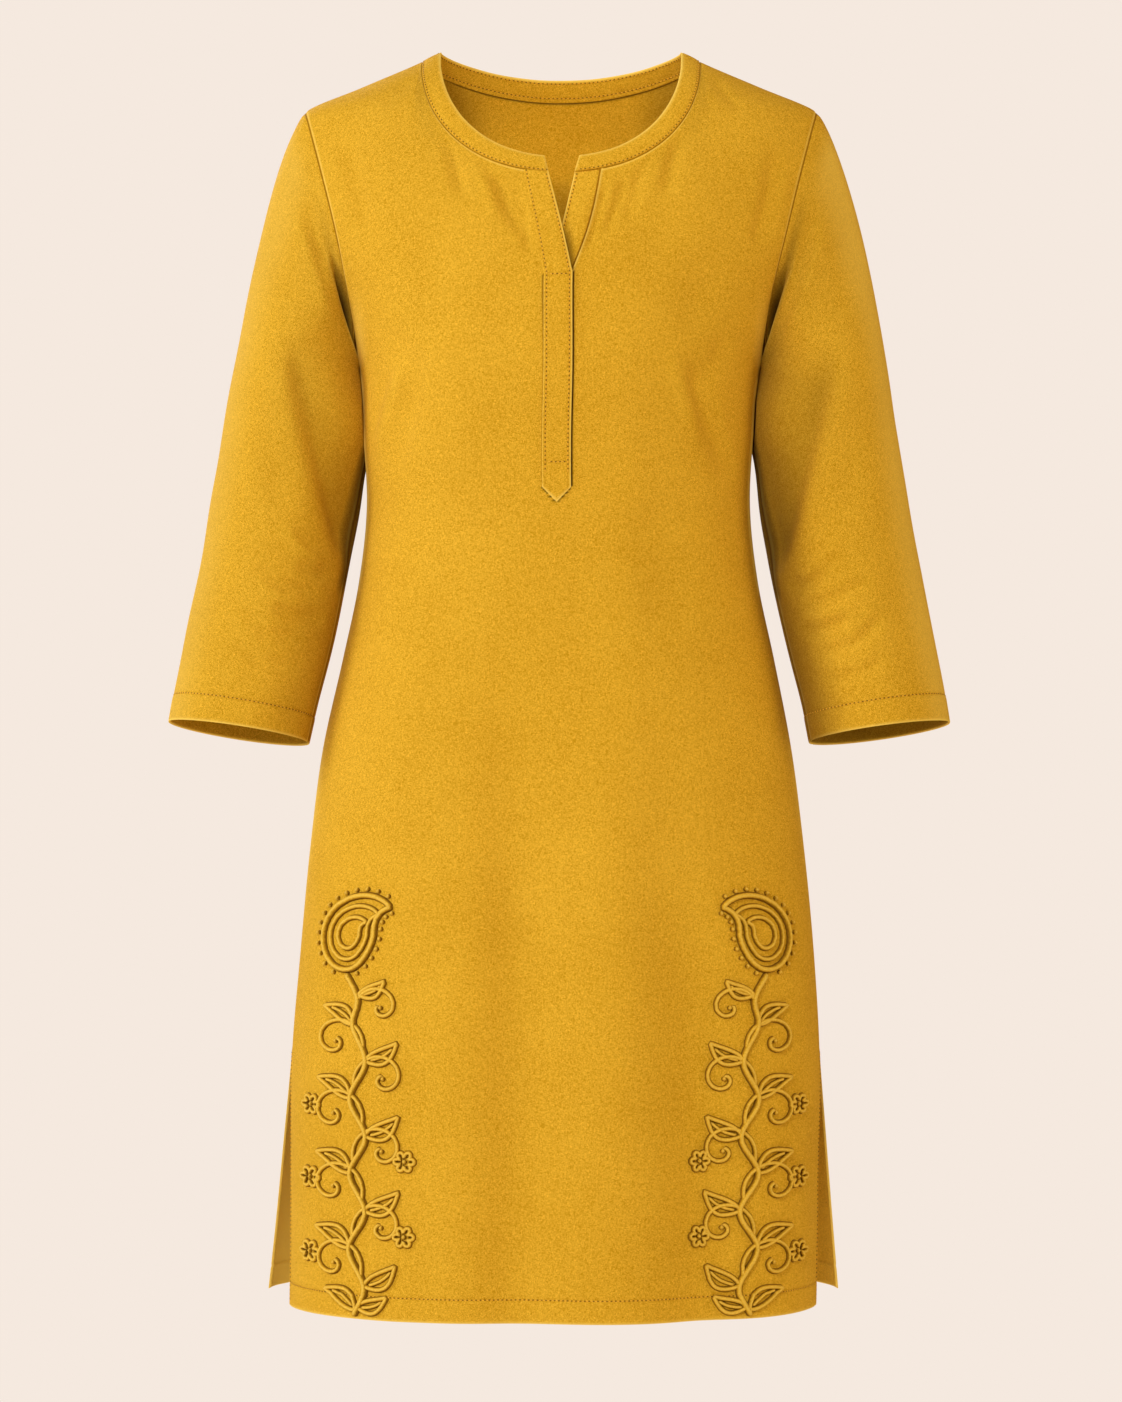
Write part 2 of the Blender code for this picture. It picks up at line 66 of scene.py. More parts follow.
body = {
    "ringPower": 2.5,  # 2 is an ellipse, more is squarer
    "shoulderX": 197,
    "shoulderLevel": -39,
    "underarmLevel": -238,
    "armholePower": 1.35,  # how the armhole hollows in below the shoulder
    "slitLevel": -762,
    "slitOpening": 0.06,
    "hemLevel": {"front": -955, "back": -946},
    # share of a panel's top edge on the shoulder
    "shoulderShare": {"front": 1 / 3, "back": 0.4},
    "wall": 1.0,
    "edgeRadius": 0.9,  # how a free edge rounds off, and its least thickness as a share
    "edgeLeast": 0.45,
    "seamGap": 0.1,
    # how far the cloth sinks into its side and armhole seams and into the top ones, and how far
    # from them it starts
    "sideDip": 0.9,
    "topDip": 0.5,
    "seamReach": 2.0,
    "neckReach": 1.1,
    "hemDepth": 17.5,
    "slitTurn": 4.0,
    "turnedLift": 0.35,  # the turned edges stand out, and their stitched line sinks in
    "lineDip": 0.4,
    # the folds grow over these distances from the side, the top edge and the slit's upper end, and
    # reach this share along the slit
    "foldFade": {"side": 34, "top": 26, "slit": 60, "slitShare": 0.55},
    # a pressed edge of the front that stands out beside each sleeve
    "pressedEdge": {
        "height": 0.7, "fromSide": 16, "width": 3.0, "levels": (-420, -396, -250, -238),
    },
}
neckColumns = ("halfWidth", "sideLevel", "frontDrop", "backDrop")
neck = {
    "power": 2.2,
    "seam": (107, 0, 94, 22),
    "top": (92.5, 7.5, 89, 15),
    "rightEnd": (10, 14),  # the band's slanted ends, from the middle, at the seam and on top
    "leftEnd": (9.3, 12.4),
}
placketColumns = ("atNeck", "below", "bow")
placket = {
    "vLevel": -172,  # bottom of the open V
    "overLeft": (-28.5, -12, 0),
    "overRight": (-9.3, 9.5, 0),
    "underLeft": (10, -8, 0),
    "underRight": (30, 8, 2.5),
    "slotRoom": 0.6,
    "slotLeft": (-24, -8.5, 0),
    "slotLevel": -319,
    "pointSideLevel": -332,
    "pointLevel": -343,
    "barLevels": (-172.5, -313),
}


# 0 below low, 1 above high, and 3 t^2 - 2 t^3 at a share t of the way between them
def smoothStep(value, low, high):
    t = np.clip((value - low) / (high - low), 0, 1)
    return t * t * (3 - 2 * t)


# Rises by a smooth step over the first two of four numbers and falls over the last two
def window(value, span):
    return smoothStep(value, span[0], span[1]) * (1 - smoothStep(value, span[2], span[3]))


# A narrow bell: exp(-(distance / width)^2)
def groove(distance, width=0.7):
    return np.exp(-((distance / width) ** 2))


# Cubic from a to b with the slopes m and n at its ends, at a share t of the way
def cubic(t, a, b, m, n):
    start = (2 * t**3 - 3 * t**2 + 1) * a + (t**3 - 2 * t**2 + t) * m
    end = (3 * t**2 - 2 * t**3) * b + (t**3 - t**2) * n
    return start + end


# Length travelled along a row of points, as the running sum of their distances
def lengthAlong(points):
    return np.concatenate([[0], np.cumsum(np.linalg.norm(np.diff(points, axis=0), axis=1))])


# Value of a named column of a table at each level: a cubic through its rows
def smoothLookup(rows, columns, name, at):
    table = np.array(rows, dtype=float)[::-1]
    level = table[:, 0]
    value = table[:, columns.index(name)]
    slope = np.gradient(value, level)
    at = np.clip(np.asarray(at, dtype=float), level[0], level[-1])
    row = np.clip(np.searchsorted(level, at) - 1, 0, len(level) - 2)
    step = level[row + 1] - level[row]
    t = (at - level[row]) / step
    return cubic(t, value[row], value[row + 1], step * slope[row], step * slope[row + 1])


# A column of the body's table, smoothly between its rows
def bodyValue(name, level):
    return smoothLookup(bodyRows, bodyColumns, name, level)


# Half width of the front or of the back, from the body's table
def halfWidth(side, level):
    return bodyValue("halfWidth" if side == "front" else "backHalfWidth", level)


# Sideways reach of the body ring at a depth y: half width times (1 - (y / depth)^2) ^ (1 / power)
def bodyReach(y, level):
    wide = np.where(y < 0, halfWidth("front", level), halfWidth("back", level))
    deep = np.where(y < 0, bodyValue("frontDepth", level), bodyValue("backDepth", level))
    return wide * np.clip(1 - (y / deep) ** 2, 0, 1) ** (1 / body["ringPower"])


# Point of the body ring: y is the depth times the root of 1 minus |x / half width| ^ ringPower
def onBody(side, x, level):
    share = np.clip(np.abs(x) / halfWidth(side, level), 0, 1)
    reach = np.sqrt(1 - share ** body["ringPower"])
    sign = -1 if side == "front" else 1
    depth = bodyValue("frontDepth" if side == "front" else "backDepth", level)
    y = sign * (depth * reach + body["seamGap"] / 2)
    return np.stack([x + bodyValue("sway", level), y, level + 0 * x], axis=-1)


# Neck line at a turn, 0 at the shoulder and 1 at the middle: a superellipse in front view on the
# front and a parabola on the back. across is 0 on the seam and 1 on the band's top edge
def neckCurve(side, turn, across):
    seam = dict(zip(neckColumns, neck["seam"]))
    top = dict(zip(neckColumns, neck["top"]))
    size = {name: seam[name] + (top[name] - seam[name]) * across for name in neckColumns}
    angle = np.asarray(turn) * np.pi / 2
    x = size["halfWidth"] * np.cos(angle) ** (2 / neck["power"])
    if side == "front":
        drop = size["frontDrop"] * np.sin(angle) ** (2 / neck["power"])
    else:
        drop = size["backDrop"] * (1 - (x / size["halfWidth"]) ** 2)
    return x, size["sideLevel"] - drop


# Turn at which the front neck line has this x: 2 / pi times arccos((x / half width)^(power / 2))
def neckTurnAt(x, across=0.0):
    width = neck["seam"][0] + (neck["top"][0] - neck["seam"][0]) * across
    return np.arccos((abs(x) / width) ** (neck["power"] / 2)) / (np.pi / 2)


# Level of the front's neck seam at x
def neckLevelAt(x):
    return neckCurve("front", neckTurnAt(x), 0.0)[1]


# x of a placket edge: slanting from the neck to the bottom of the V, with a bow of sin(pi share) on
# the way, then upright
def placketLine(edge, level):
    line = dict(zip(placketColumns, edge))
    slanting = neckLevelAt(line["atNeck"]) - placket["vLevel"]
    share = np.clip((level - placket["vLevel"]) / slanting, 0, 1)
    slant = (line["atNeck"] - line["below"]) * share
    return line["below"] + slant + line["bow"] * np.sin(np.pi * share)


# How far the slot in the front reaches to the right: just past the under placket
def slotRightLine(level):
    return placketLine(placket["underRight"], level) + placket["slotRoom"]


# How far the slot reaches to the left, as a distance from the middle
def slotLeftLine(level):
    return -placketLine(placket["slotLeft"], level)


# Turns of the neck line at even shares of its length
def neckTurns(side, innerX, shares):
    turns = np.linspace(0, neckTurnAt(innerX), 600)
    x, level = neckCurve(side, turns, 0.0)
    travelled = lengthAlong(onBody(side, x, level))
    return np.interp(shares * travelled[-1], travelled, turns)


# Front-view x and level of one half of a panel. across runs from the side edge, 0, to the inner
# line, 1. The rows below the underarm are levels, and those above are shares of the way to the top.
# Each row spaces its points by the sine of across, and a row above the underarm moves from the
# chest's x to the top edge's by its share to the power armholePower
def halfPanel(side, across, below, rise, innerTop, innerLine):
    onShoulder = body["shoulderShare"][side]
    level = np.linspace(0, body["shoulderLevel"], 400)
    inward = (neck["seam"][0] - body["shoulderX"]) * np.clip(across / onShoulder, 0, 1)
    shoulderX = body["shoulderX"] + inward
    shoulderLevel = np.interp(shoulderX, halfWidth("front", level), level)
    turns = neckTurns(side, innerTop, np.clip((across - onShoulder) / (1 - onShoulder), 0, 1))
    neckX, neckLevel = neckCurve(side, turns, 0.0)
    isNeck = across > onShoulder
    topX = np.where(isNeck, neckX, shoulderX)
    topLevel = np.where(isNeck, neckLevel, shoulderLevel)
    underarm = body["underarmLevel"]
    chest = halfWidth(side, underarm)
    innerShare = np.arcsin(innerLine(underarm) / chest) / (np.pi / 2)
    angleShare = 1 + (innerShare - 1) * across
    aboveLevel = underarm + rise[:, None] * (topLevel - underarm)
    chestX = chest * np.sin(np.pi / 2 * angleShare)
    aboveX = chestX + (topX - chestX) * rise[:, None] ** body["armholePower"]
    slitLength = body["slitLevel"] - body["hemLevel"]["front"]
    opened = np.clip((body["slitLevel"] - below) / slitLength, 0, 1)
    reach = 1 - body["slitOpening"] * opened
    belowX = halfWidth(side, below)[:, None] * np.sin(np.pi / 2 * angleShare * reach[:, None])
    x = np.concatenate([belowX, aboveX])
    level = np.concatenate([np.repeat(below[:, None], len(across), axis=1), aboveLevel])
    pull = (innerLine(level[:, -1]) - x[:, -1])[:, None] * across**4
    return x + pull, level


# Unit normals of a grid: the way along its columns crossed with the way up its rows
def gridNormals(points, wrap=False):
    if wrap:
        along = np.roll(points, -1, axis=1) - np.roll(points, 1, axis=1)
    else:
        along = np.gradient(points, axis=1)
    normal = np.cross(along, np.gradient(points, axis=0))
    return normal / np.maximum(np.linalg.norm(normal, axis=2, keepdims=True), 1e-9)


# Cloth coordinates of a grid, in metres: length along each row from a middle column, and length
# up each column from the first row
def clothUV(points, middle):
    along = np.linalg.norm(np.diff(points, axis=1), axis=2)
    along = np.concatenate([np.zeros((len(points), 1)), np.cumsum(along, axis=1)], axis=1)
    up = np.linalg.norm(np.diff(points, axis=0), axis=2)
    up = np.concatenate([np.zeros((1, points.shape[1])), np.cumsum(up, axis=0)])
    return np.stack([along - along[:, middle : middle + 1], up], axis=-1) * mm


# Closed shell between an outer and an inner grid. Cells left out of keep are open. marks are
# numbers on each grid point: edge is above 0 for a painted highlight on folds and edges and below
# 0 for painted shade in a seam, and shade is above 0 for painted shade and shadow. inside holds the
# inner side's own. A wrapped grid has one column less than its cloth coordinates
def makeShell(name, outer, inner, uv, marks, keep=None, inside=None):
    rows, columns = uv.shape[:2]
    held = outer.shape[1]
    span = rows * columns
    index = np.arange(span).reshape(rows, columns)
    cells = np.stack([index[:-1, :-1], index[:-1, 1:], index[1:, 1:], index[1:, :-1]], axis=-1)
    outerFaces = (cells if keep is None else cells[keep]).reshape(-1, 4)
    vertexOf = (index // columns * held + index % columns % held).ravel()
    starts = outerFaces.ravel()
    ends = np.roll(outerFaces, -1, axis=1).ravel()
    keyed = vertexOf[starts] * span + vertexOf[ends]
    free = ~np.isin(keyed, vertexOf[ends] * span + vertexOf[starts])
    rim = np.stack([ends[free], starts[free], starts[free] + span, ends[free] + span], axis=-1)
    corners = np.concatenate([outerFaces, outerFaces[:, ::-1] + span, rim])
    vertexOf = np.concatenate([vertexOf, vertexOf + rows * held])
    points = np.concatenate([outer.reshape(-1, 3), inner.reshape(-1, 3)])
    uvs = np.concatenate([uv.reshape(-1, 2)] * 2)
    inside = inside or marks
    both = {}
    for mark, grid in marks.items():
        both[mark] = np.concatenate([grid[:, :held].ravel(), inside[mark][:, :held].ravel()])
    return makeMesh(name, points, vertexOf[corners], uvs[corners.ravel()], both)


# Quads of a tube of rings with the same number of points, each ring joined to the next. Quads that
# join the two halves of a ring close both ends
def tubeFaces(count, sides):
    index = np.arange(count * sides).reshape(count, sides)
    ahead = np.roll(index, -1, axis=1)
    walls = np.stack([index[:-1], ahead[:-1], ahead[1:], index[1:]], axis=-1).reshape(-1, 4)
    a = np.arange(sides // 2 - 1)
    cap = np.stack([a, a + 1, sides - 2 - a, sides - 1 - a], axis=-1)
    return np.concatenate([walls, cap[:, ::-1], cap + (count - 1) * sides])


# One solid from one or more tubes, each given as its rings of points, cloth coordinates and marks
def makeTubes(name, tubes, sharp=50):
    faces, first = [], 0
    for rings, uv, marks in tubes:
        faces.append(tubeFaces(*rings.shape[:2]) + first)
        first += rings.shape[0] * rings.shape[1]
    faces = np.concatenate(faces)
    points = np.concatenate([rings.reshape(-1, 3) for rings, uv, marks in tubes])
    uvs = np.concatenate([uv.reshape(-1, 2) for rings, uv, marks in tubes])
    joined = {}
    for mark in tubes[0][2]:
        joined[mark] = np.concatenate([marks[mark].ravel() for rings, uv, marks in tubes])
    return makeMesh(name, points, faces, uvs[faces.ravel()], joined, sharp)


# A mesh from points in millimetres, quads or triangles, a cloth coordinate for each face corner
# and the marks of each point. Points that no face uses are dropped
def makeMesh(name, points, faces, cornerUV=None, marks=None, sharp=50):
    used, flat = np.unique(faces.ravel(), return_inverse=True)
    corners = faces.shape[1]
    mesh = bpy.data.meshes.new(name)
    mesh.vertices.add(len(used))
    mesh.vertices.foreach_set("co", (points[used] * mm).astype(np.float32).ravel())
    mesh.loops.add(len(flat))
    mesh.loops.foreach_set("vertex_index", flat.astype(np.int32).ravel())
    mesh.polygons.add(len(faces))
    mesh.polygons.foreach_set("loop_start", np.arange(0, len(flat), corners, dtype=np.int32))
    mesh.update(calc_edges=True)
    if cornerUV is not None:
        layer = mesh.uv_layers.new(name="cloth")
        layer.data.foreach_set("uv", cornerUV.astype(np.float32).ravel())
    for mark, value in (marks or {}).items():
        layer = mesh.attributes.new(mark, "FLOAT", "POINT")
        layer.data.foreach_set("value", value[used].astype(np.float32))
    mesh.shade_smooth()
    mesh.set_sharp_from_angle(angle=np.radians(sharp))
    piece = bpy.data.objects.new(name, mesh)
    bpy.context.collection.objects.link(piece)
    return piece


# Rounded thickness near a free edge: a quarter circle of the given radius, never under a share
def roundedEdge(distance, radius, least):
    toEdge = 1 - np.clip(distance / radius, 0, 1)
    return np.maximum(np.sqrt(np.clip(1 - toEdge**2, 0, 1)), least)


# Outer and inner side of a cloth surface at a thickness that rounds off toward its free edges
def clothSides(surface, normal, freeEdge, thickness, wrap=False):
    rounded = roundedEdge(freeEdge, body["edgeRadius"], body["edgeLeast"])
    outer = surface - (body["wall"] / 2 * (1 - rounded))[..., None] * normal
    return outer, outer - (thickness * rounded)[..., None] * gridNormals(outer, wrap)


# Sum of soft creases in front view. Each one is its depth times a bell of the distance from its
# line, with a width for each side, dying away toward both of its ends
def creaseField(x, level, creases):
    total = np.zeros(np.broadcast(x, level).shape)
    for depth, (left, right), points, *ends in creases:
        line = np.array(points, dtype=float)
        parts = np.diff(line, axis=0)
        lengths = np.linalg.norm(parts, axis=1)
        before = lengthAlong(line)
        nearest = np.full(total.shape, 1e9)
        share = np.zeros(total.shape)
        turned = np.zeros(total.shape)
        for start, part, length, travelled in zip(line, parts, lengths, before):
            dx, dz = x - start[0], level - start[1]
            t = np.clip((dx * part[0] + dz * part[1]) / length**2, 0, 1)
            distance = np.hypot(dx - t * part[0], dz - t * part[1])
            closer = distance < nearest
            nearest = np.where(closer, distance, nearest)
            share = np.where(closer, (travelled + t * length) / before[-1], share)
            turned = np.where(closer, part[0] * dz - part[1] * dx, turned)
        width = left + (right - left) * smoothStep(-turned / lengths.mean(), -left, right)
        startShare, endShare = ends[0] if ends else (0.3, 0.3)
        fade = smoothStep(share, 0, startShare) * smoothStep(1 - share, 0, endShare)
        total += depth * groove(nearest, width) * fade
    return total


# Gentle unevenness of hanging cloth: a sum of long waves in seeded directions
def softWaves(x, level, seed, lengths, depth):
    random = np.random.default_rng(seed)
    total = np.zeros(np.broadcast(x, level).shape)
    for length in lengths:
        angle = random.normal(0, 0.5)  # the ridges run mostly up and down
        phase = random.uniform(0, 2 * np.pi)
        across = x * np.cos(angle) + level * np.sin(angle)
        total += np.sin(2 * np.pi * across / length + phase) / len(lengths)
    return depth * total


# Creases in front view: depth, above 0 for a ridge and below 0 for a trough, then the widths left
# and right of the line, the line, and the shares of its length over which it dies away at its start
# and its end where they aren't 0.3
frontCreases = [
    # long soft folds of the skirt, from below the waist to the hem
    (-11.0, (40, 34), [(-46, -395), (-36, -530), (-26, -650), (-24, -800), (-28, -1010)],
     (0.4, 0.02)),
    (-12.0, (27, 28), [(88, -540), (104, -700), (112, -850), (116, -1010)], (0.5, 0.02)),
    (3.0, (28, 30), [(34, -470), (36, -640), (36, -820), (36, -1010)], (0.3, 0.02)),
    (-1.6, (16, 20), [(-104, -620), (-102, -780), (-100, -1010)], (0.3, 0.02)),
    # the cloth falls in from the bust to the waist
    (-3.0, (22, 26), [(62, -330), (84, -385), (92, -450)]),
    (-2.0, (26, 22), [(-60, -330), (-78, -390), (-84, -455)]),
    # drag lines below the underarm
    (-5.5, (9, 10), [(95, -222), (112, -276), (136, -330)]),
    (2.5, (7, 6), [(84, -226), (94, -262), (108, -300)]),
    (1.5, (4, 4), [(118, -262), (128, -292), (138, -312)]),
    (3.0, (5, 6), [(-112, -224), (-126, -266), (-138, -318)]),
    (-3.6, (7, 8), [(-104, -240), (-114, -284), (-126, -330)]),
    (-2.0, (4, 4), [(-128, -236), (-137, -268), (-144, -300)]),
    (-2.2, (8, 8), [(128, -210), (118, -236), (100, -262)]),
    (-1.9, (8, 8), [(-130, -205), (-116, -232), (-96, -256)]),
    # small gathers below the neck band and beside the V
    (-3.6, (5, 7), [(-84, -58), (-80, -84), (-72, -118)]),
    (-3.6, (5, 5), [(-52, -88), (-44, -110), (-30, -146)]),
    (2.2, (6, 5), [(-66, -76), (-58, -100), (-48, -136)]),
    (-3.0, (4, 5), [(-38, -94), (-30, -120), (-20, -166)]),
    (-3.6, (5, 5), [(50, -90), (44, -112), (30, -150)]),
    (-2.8, (6, 5), [(64, -78), (58, -100), (46, -140)]),
    (-3.0, (4, 5), [(36, -96), (28, -124), (18, -164)]),
    (-3.0, (7, 5), [(86, -56), (84, -84), (76, -116)]),
    # pull from the shoulder points into the armholes
    (-4.2, (8, 9), [(-168, -56), (-161, -84), (-154, -112), (-140, -150)]),
    (-5.5, (8, 7), [(166, -66), (162, -92), (158, -118), (146, -156)]),
    (2.4, (5, 5), [(174, -84), (170, -108), (164, -136)]),
    (-2.4, (14, 16), [(120, -150), (104, -190), (92, -222)]),
    (-2.0, (16, 16), [(-104, -130), (-94, -180), (-88, -230)]),
    (-1.4, (4, 5), [(-112, -14), (-122, -26), (-136, -44)]),
    (-1.4, (4, 5), [(112, -14), (123, -27), (138, -46)]),
]
backCreases = [
    # long soft folds of the skirt
    (-9.5, (26, 32), [(-84, -420), (-74, -560), (-66, -760), (-70, -1000)], (0.4, 0.02)),
    (-11.0, (24, 30), [(52, -470), (64, -620), (60, -820), (66, -1000)], (0.45, 0.02)),
    (3.2, (36, 32), [(-6, -480), (-2, -640), (-6, -1000)], (0.3, 0.02)),
    (-4.5, (18, 20), [(122, -600), (128, -800), (132, -1000)], (0.5, 0.02)),
    (-3.6, (16, 18), [(-128, -660), (-136, -820), (-138, -1000)], (0.5, 0.02)),
    # the hollow of the back, with soft cross folds
    (-4.4, (11, 15), [(-66, -296), (-20, -336), (44, -344)]),
    (-3.4, (8, 12), [(78, -286), (34, -312), (-34, -318)]),
    (-3.6, (10, 13), [(-92, -328), (-52, -374), (0, -392)]),
    (-3.0, (9, 12), [(96, -340), (56, -378), (14, -404)]),
    # pull from the armholes and below the neck
    (-5.0, (9, 13), [(-156, -110), (-132, -156), (-114, -220)]),
    (-5.5, (10, 13), [(154, -112), (134, -164), (116, -230)]),
    (2.4, (7, 8), [(-134, -90), (-118, -134), (-108, -170)]),
    (-3.2, (9, 12), [(-34, -40), (-30, -90), (-22, -170)]),
    (-2.8, (12, 9), [(26, -38), (32, -100), (26, -180)]),
    (-4.0, (8, 10), [(-134, -236), (-108, -282), (-92, -336)]),
    (-3.6, (9, 9), [(134, -240), (110, -290), (94, -346)]),
    (-2.4, (6, 8), [(-140, -300), (-118, -330), (-104, -364)]),
]


panelCreases = {"front": frontCreases, "back": backCreases}
# seed, lengths and depth of the soft waves of the front, the back and the sleeves
waves = {
    "front": (11, (58, 74, 96, 130, 170), 1.3),
    "back": (23, (58, 74, 96, 130, 170), 1.3),
    -1: (30, (46, 60, 84, 120), 0.9),
    1: (32, (46, 60, 84, 120), 0.9),
}


# Folds of a panel: its creases plus its soft waves
def panelFolds(side, x, level):
    return creaseField(x, level, panelCreases[side]) + softWaves(x, level, *waves[side])


panel = {
    # distances in from the side edge and out from the slot
    "edgeSteps": (0, 0.5, 1.1, 1.8, 2.6, 3.4, 4.0, 4.7, 5.6, 7.0, 9.0),
    "slotSteps": (7.0, 5.0, 3.6, 2.6, 1.8, 1.2, 0.6),
    "quarterRing": 235.0,  # length of a quarter ring, to turn those distances into shares
    "columns": {"front": 72, "back": 66},
    "middleColumns": 5,
    # rows above the underarm, then along the slit, the skirt, the placket's point and the slot
    "rowsAbove": 96,
    "rowsSlit": 36,
    "rowsSkirt": 84,
    "rowsPoint": 22,
    "rowsSlot": 24,
    "hemSteps": (0, 0.4, 1.0, 2.0, 4.0, 7.5, 11.0, 14.0, 15.7, 16.7, 17.5, 18.3, 19.3, 21.0, 24.0),
    # strengths of the edge marks: the painted highlight on folded edges, painted shade in seams,
    # the painted highlight beside a seam, the painted highlight along the side below the waist and
    # the one beside the sleeve, and painted shade along the stitched lines
    "marks": {"free": 1.2, "seam": -1.2, "seamHighlight": 0.9, "side": 0.8, "sleeve": 1.3, "line": -0.3},
    "sideLevels": (-720, -560, -235, -170),
}


# Shares across half a panel, from its side edge to its slot or middle, closer together at the edges
def panelAcross(side):
    near = np.array(panel["edgeSteps"]) / panel["quarterRing"]
    if side == "back":
        return np.concatenate([near, np.linspace(near[-1], 1, panel["columns"][side])[1:]])
    far = 1 - np.array(panel["slotSteps"]) / panel["quarterRing"]
    between = np.linspace(near[-1], far[0], panel["columns"][side])[1:]
    return np.concatenate([near, between, far[1:], [1.0]])


# Levels of a panel's rows from the hem to the underarm, in even steps on each stretch
def panelLevels(side):
    levels = body["hemLevel"][side] + np.array(panel["hemSteps"])
    stretches = (
        (body["slitLevel"], "rowsSlit"), (placket["pointLevel"] - 4, "rowsSkirt"),
        (placket["slotLevel"], "rowsPoint"), (body["underarmLevel"], "rowsSlot"),
    )
    for end, rows in stretches:
        levels = np.concatenate([levels, np.linspace(levels[-1], end, panel[rows])[1:]])
    return levels


# Shares of the way from the underarm to the top edge: half a cosine wave, closer at both ends
def panelRise():
    return (1 - np.cos(np.linspace(0, np.pi, panel["rowsAbove"] + 1)[1:])) / 2


# Straight distance of each grid point from the nearer side edge in its row and from the top edge in
# its column, and its height over the hem
def edgeDistances(points, hemLevel):
    sideLeft = np.linalg.norm(points - points[:, :1], axis=2)
    sideRight = np.linalg.norm(points - points[:, -1:], axis=2)
    top = np.linalg.norm(points - points[-1:], axis=2)
    return np.minimum(sideLeft, sideRight), top, points[:, :, 2] - hemLevel


# Outer and inner side of a panel, and its edge marks. The body ring is moved out along its normal
# by the folds, which die away at the seams, less the dip into each seam, plus the turned edges
def finishPanel(side, base, viewX):
    normal = gridNormals(base)
    sideGap, topGap, hemGap = edgeDistances(base, body["hemLevel"][side])
    level = base[:, :, 2]
    isSlit = level < body["slitLevel"] + 1
    fade = body["foldFade"]
    slitFade = fade["slitShare"] * smoothStep(body["slitLevel"] - level, 0, fade["slit"])
    sideFade = np.maximum(smoothStep(sideGap, 0, fade["side"]), slitFade)
    move = panelFolds(side, viewX, level) * sideFade * smoothStep(topGap, 0, fade["top"])
    pressed = body["pressedEdge"]
    besideSleeve = window(level, pressed["levels"])
    if side == "front":
        stands = groove(sideGap - pressed["fromSide"], pressed["width"]) * besideSleeve
        move = move + pressed["height"] * stands
    dip = body["sideDip"] * groove(sideGap, body["seamReach"]) * ~isSlit
    dip = np.maximum(dip, body["topDip"] * groove(topGap, body["neckReach"]))
    slitLine = groove(sideGap - body["slitTurn"]) * isSlit
    lines = np.maximum(groove(hemGap - body["hemDepth"], 1.0), slitLine)
    turnedHem = 1 - smoothStep(hemGap, body["hemDepth"] - 1, body["hemDepth"] + 1)
    turnedSlit = 1 - smoothStep(sideGap, body["slitTurn"] - 0.8, body["slitTurn"] + 0.8)
    doubled = body["turnedLift"] * np.maximum(turnedHem, turnedSlit * isSlit)
    move = move - dip - body["lineDip"] * lines + doubled
    freeEdge = np.minimum(hemGap, np.where(isSlit, sideGap, 99))
    surface = base + move[..., None] * normal
    outer, inner = clothSides(surface, normal, freeEdge, body["wall"] + 2 * doubled)
    isArmhole = smoothStep(level, body["underarmLevel"] - 4, body["underarmLevel"] + 4)
    # edge marks: painted shade in the armhole and top seams and the stitched lines, and a painted
    # highlight on the free edges, beside the seams, along the side below the waist and beside the
    # sleeve
    seam = np.maximum(groove(sideGap, 0.6) * isArmhole, groove(topGap, 0.45))
    seamHighlight = np.maximum(1.2 * groove(sideGap - 1.7, 0.8) * isArmhole, groove(topGap - 1.7))
    seamHighlight = np.maximum(seamHighlight, groove(sideGap, 1.6) * ~isSlit * (1 - isArmhole))
    marks = panel["marks"]
    edge = marks["free"] * groove(freeEdge, 1.2) + marks["seam"] * seam + marks["seamHighlight"] * seamHighlight
    besideSkirt = window(level, panel["sideLevels"])
    edge = edge + marks["side"] * (1 - smoothStep(sideGap, 4, 32)) * besideSkirt
    edge = edge + marks["sleeve"] * (1 - smoothStep(sideGap, 18, 23)) * besideSleeve
    return outer, inner, edge + marks["line"] * lines


# The front's base grid on the body ring, its front-view x, and which cells to keep. Two halves
# meet over a few columns in the middle, which stay open where the slot is
def frontGrid():
    across, below, rise = panelAcross("front"), panelLevels("front"), panelRise()
    leftX, leftLevel = halfPanel("front", across, below, rise, slotLeftLine(0), slotLeftLine)
    rightX, rightLevel = halfPanel("front", across, below, rise, slotRightLine(0), slotRightLine)
    rightX, rightLevel = rightX[:, ::-1], rightLevel[:, ::-1]
    share = np.linspace(0, 1, panel["middleColumns"] + 2)[1:-1]
    middleX = -leftX[:, -1:] + (rightX[:, :1] + leftX[:, -1:]) * share
    middleLevel = leftLevel[:, -1:] + (rightLevel[:, :1] - leftLevel[:, -1:]) * share
    x = np.concatenate([-leftX, middleX, rightX], axis=1)
    level = np.concatenate([leftLevel, middleLevel, rightLevel], axis=1)
    keep = np.ones((x.shape[0] - 1, x.shape[1] - 1), dtype=bool)
    slotLeft = leftX.shape[1] - 1
    slotRows = level[:-1, slotLeft] > placket["slotLevel"] - 1
    keep[slotRows, slotLeft : slotLeft + panel["middleColumns"] + 1] = False
    return onBody("front", x, level), x, keep


# The back's inner line is its middle, at 0 on every level
def middleLine(level):
    return 0.0 * np.asarray(level)


# The back's base grid on the body ring and its front-view x: one half and its mirror image
def backGrid():
    across, below = panelAcross("back"), panelLevels("back")
    halfX, halfLevel = halfPanel("back", across, below, panelRise(), 0.0, middleLine)
    x = np.concatenate([halfX, -halfX[:, -2::-1]], axis=1)
    level = np.concatenate([halfLevel, halfLevel[:, -2::-1]], axis=1)
    return onBody("back", x, level), x
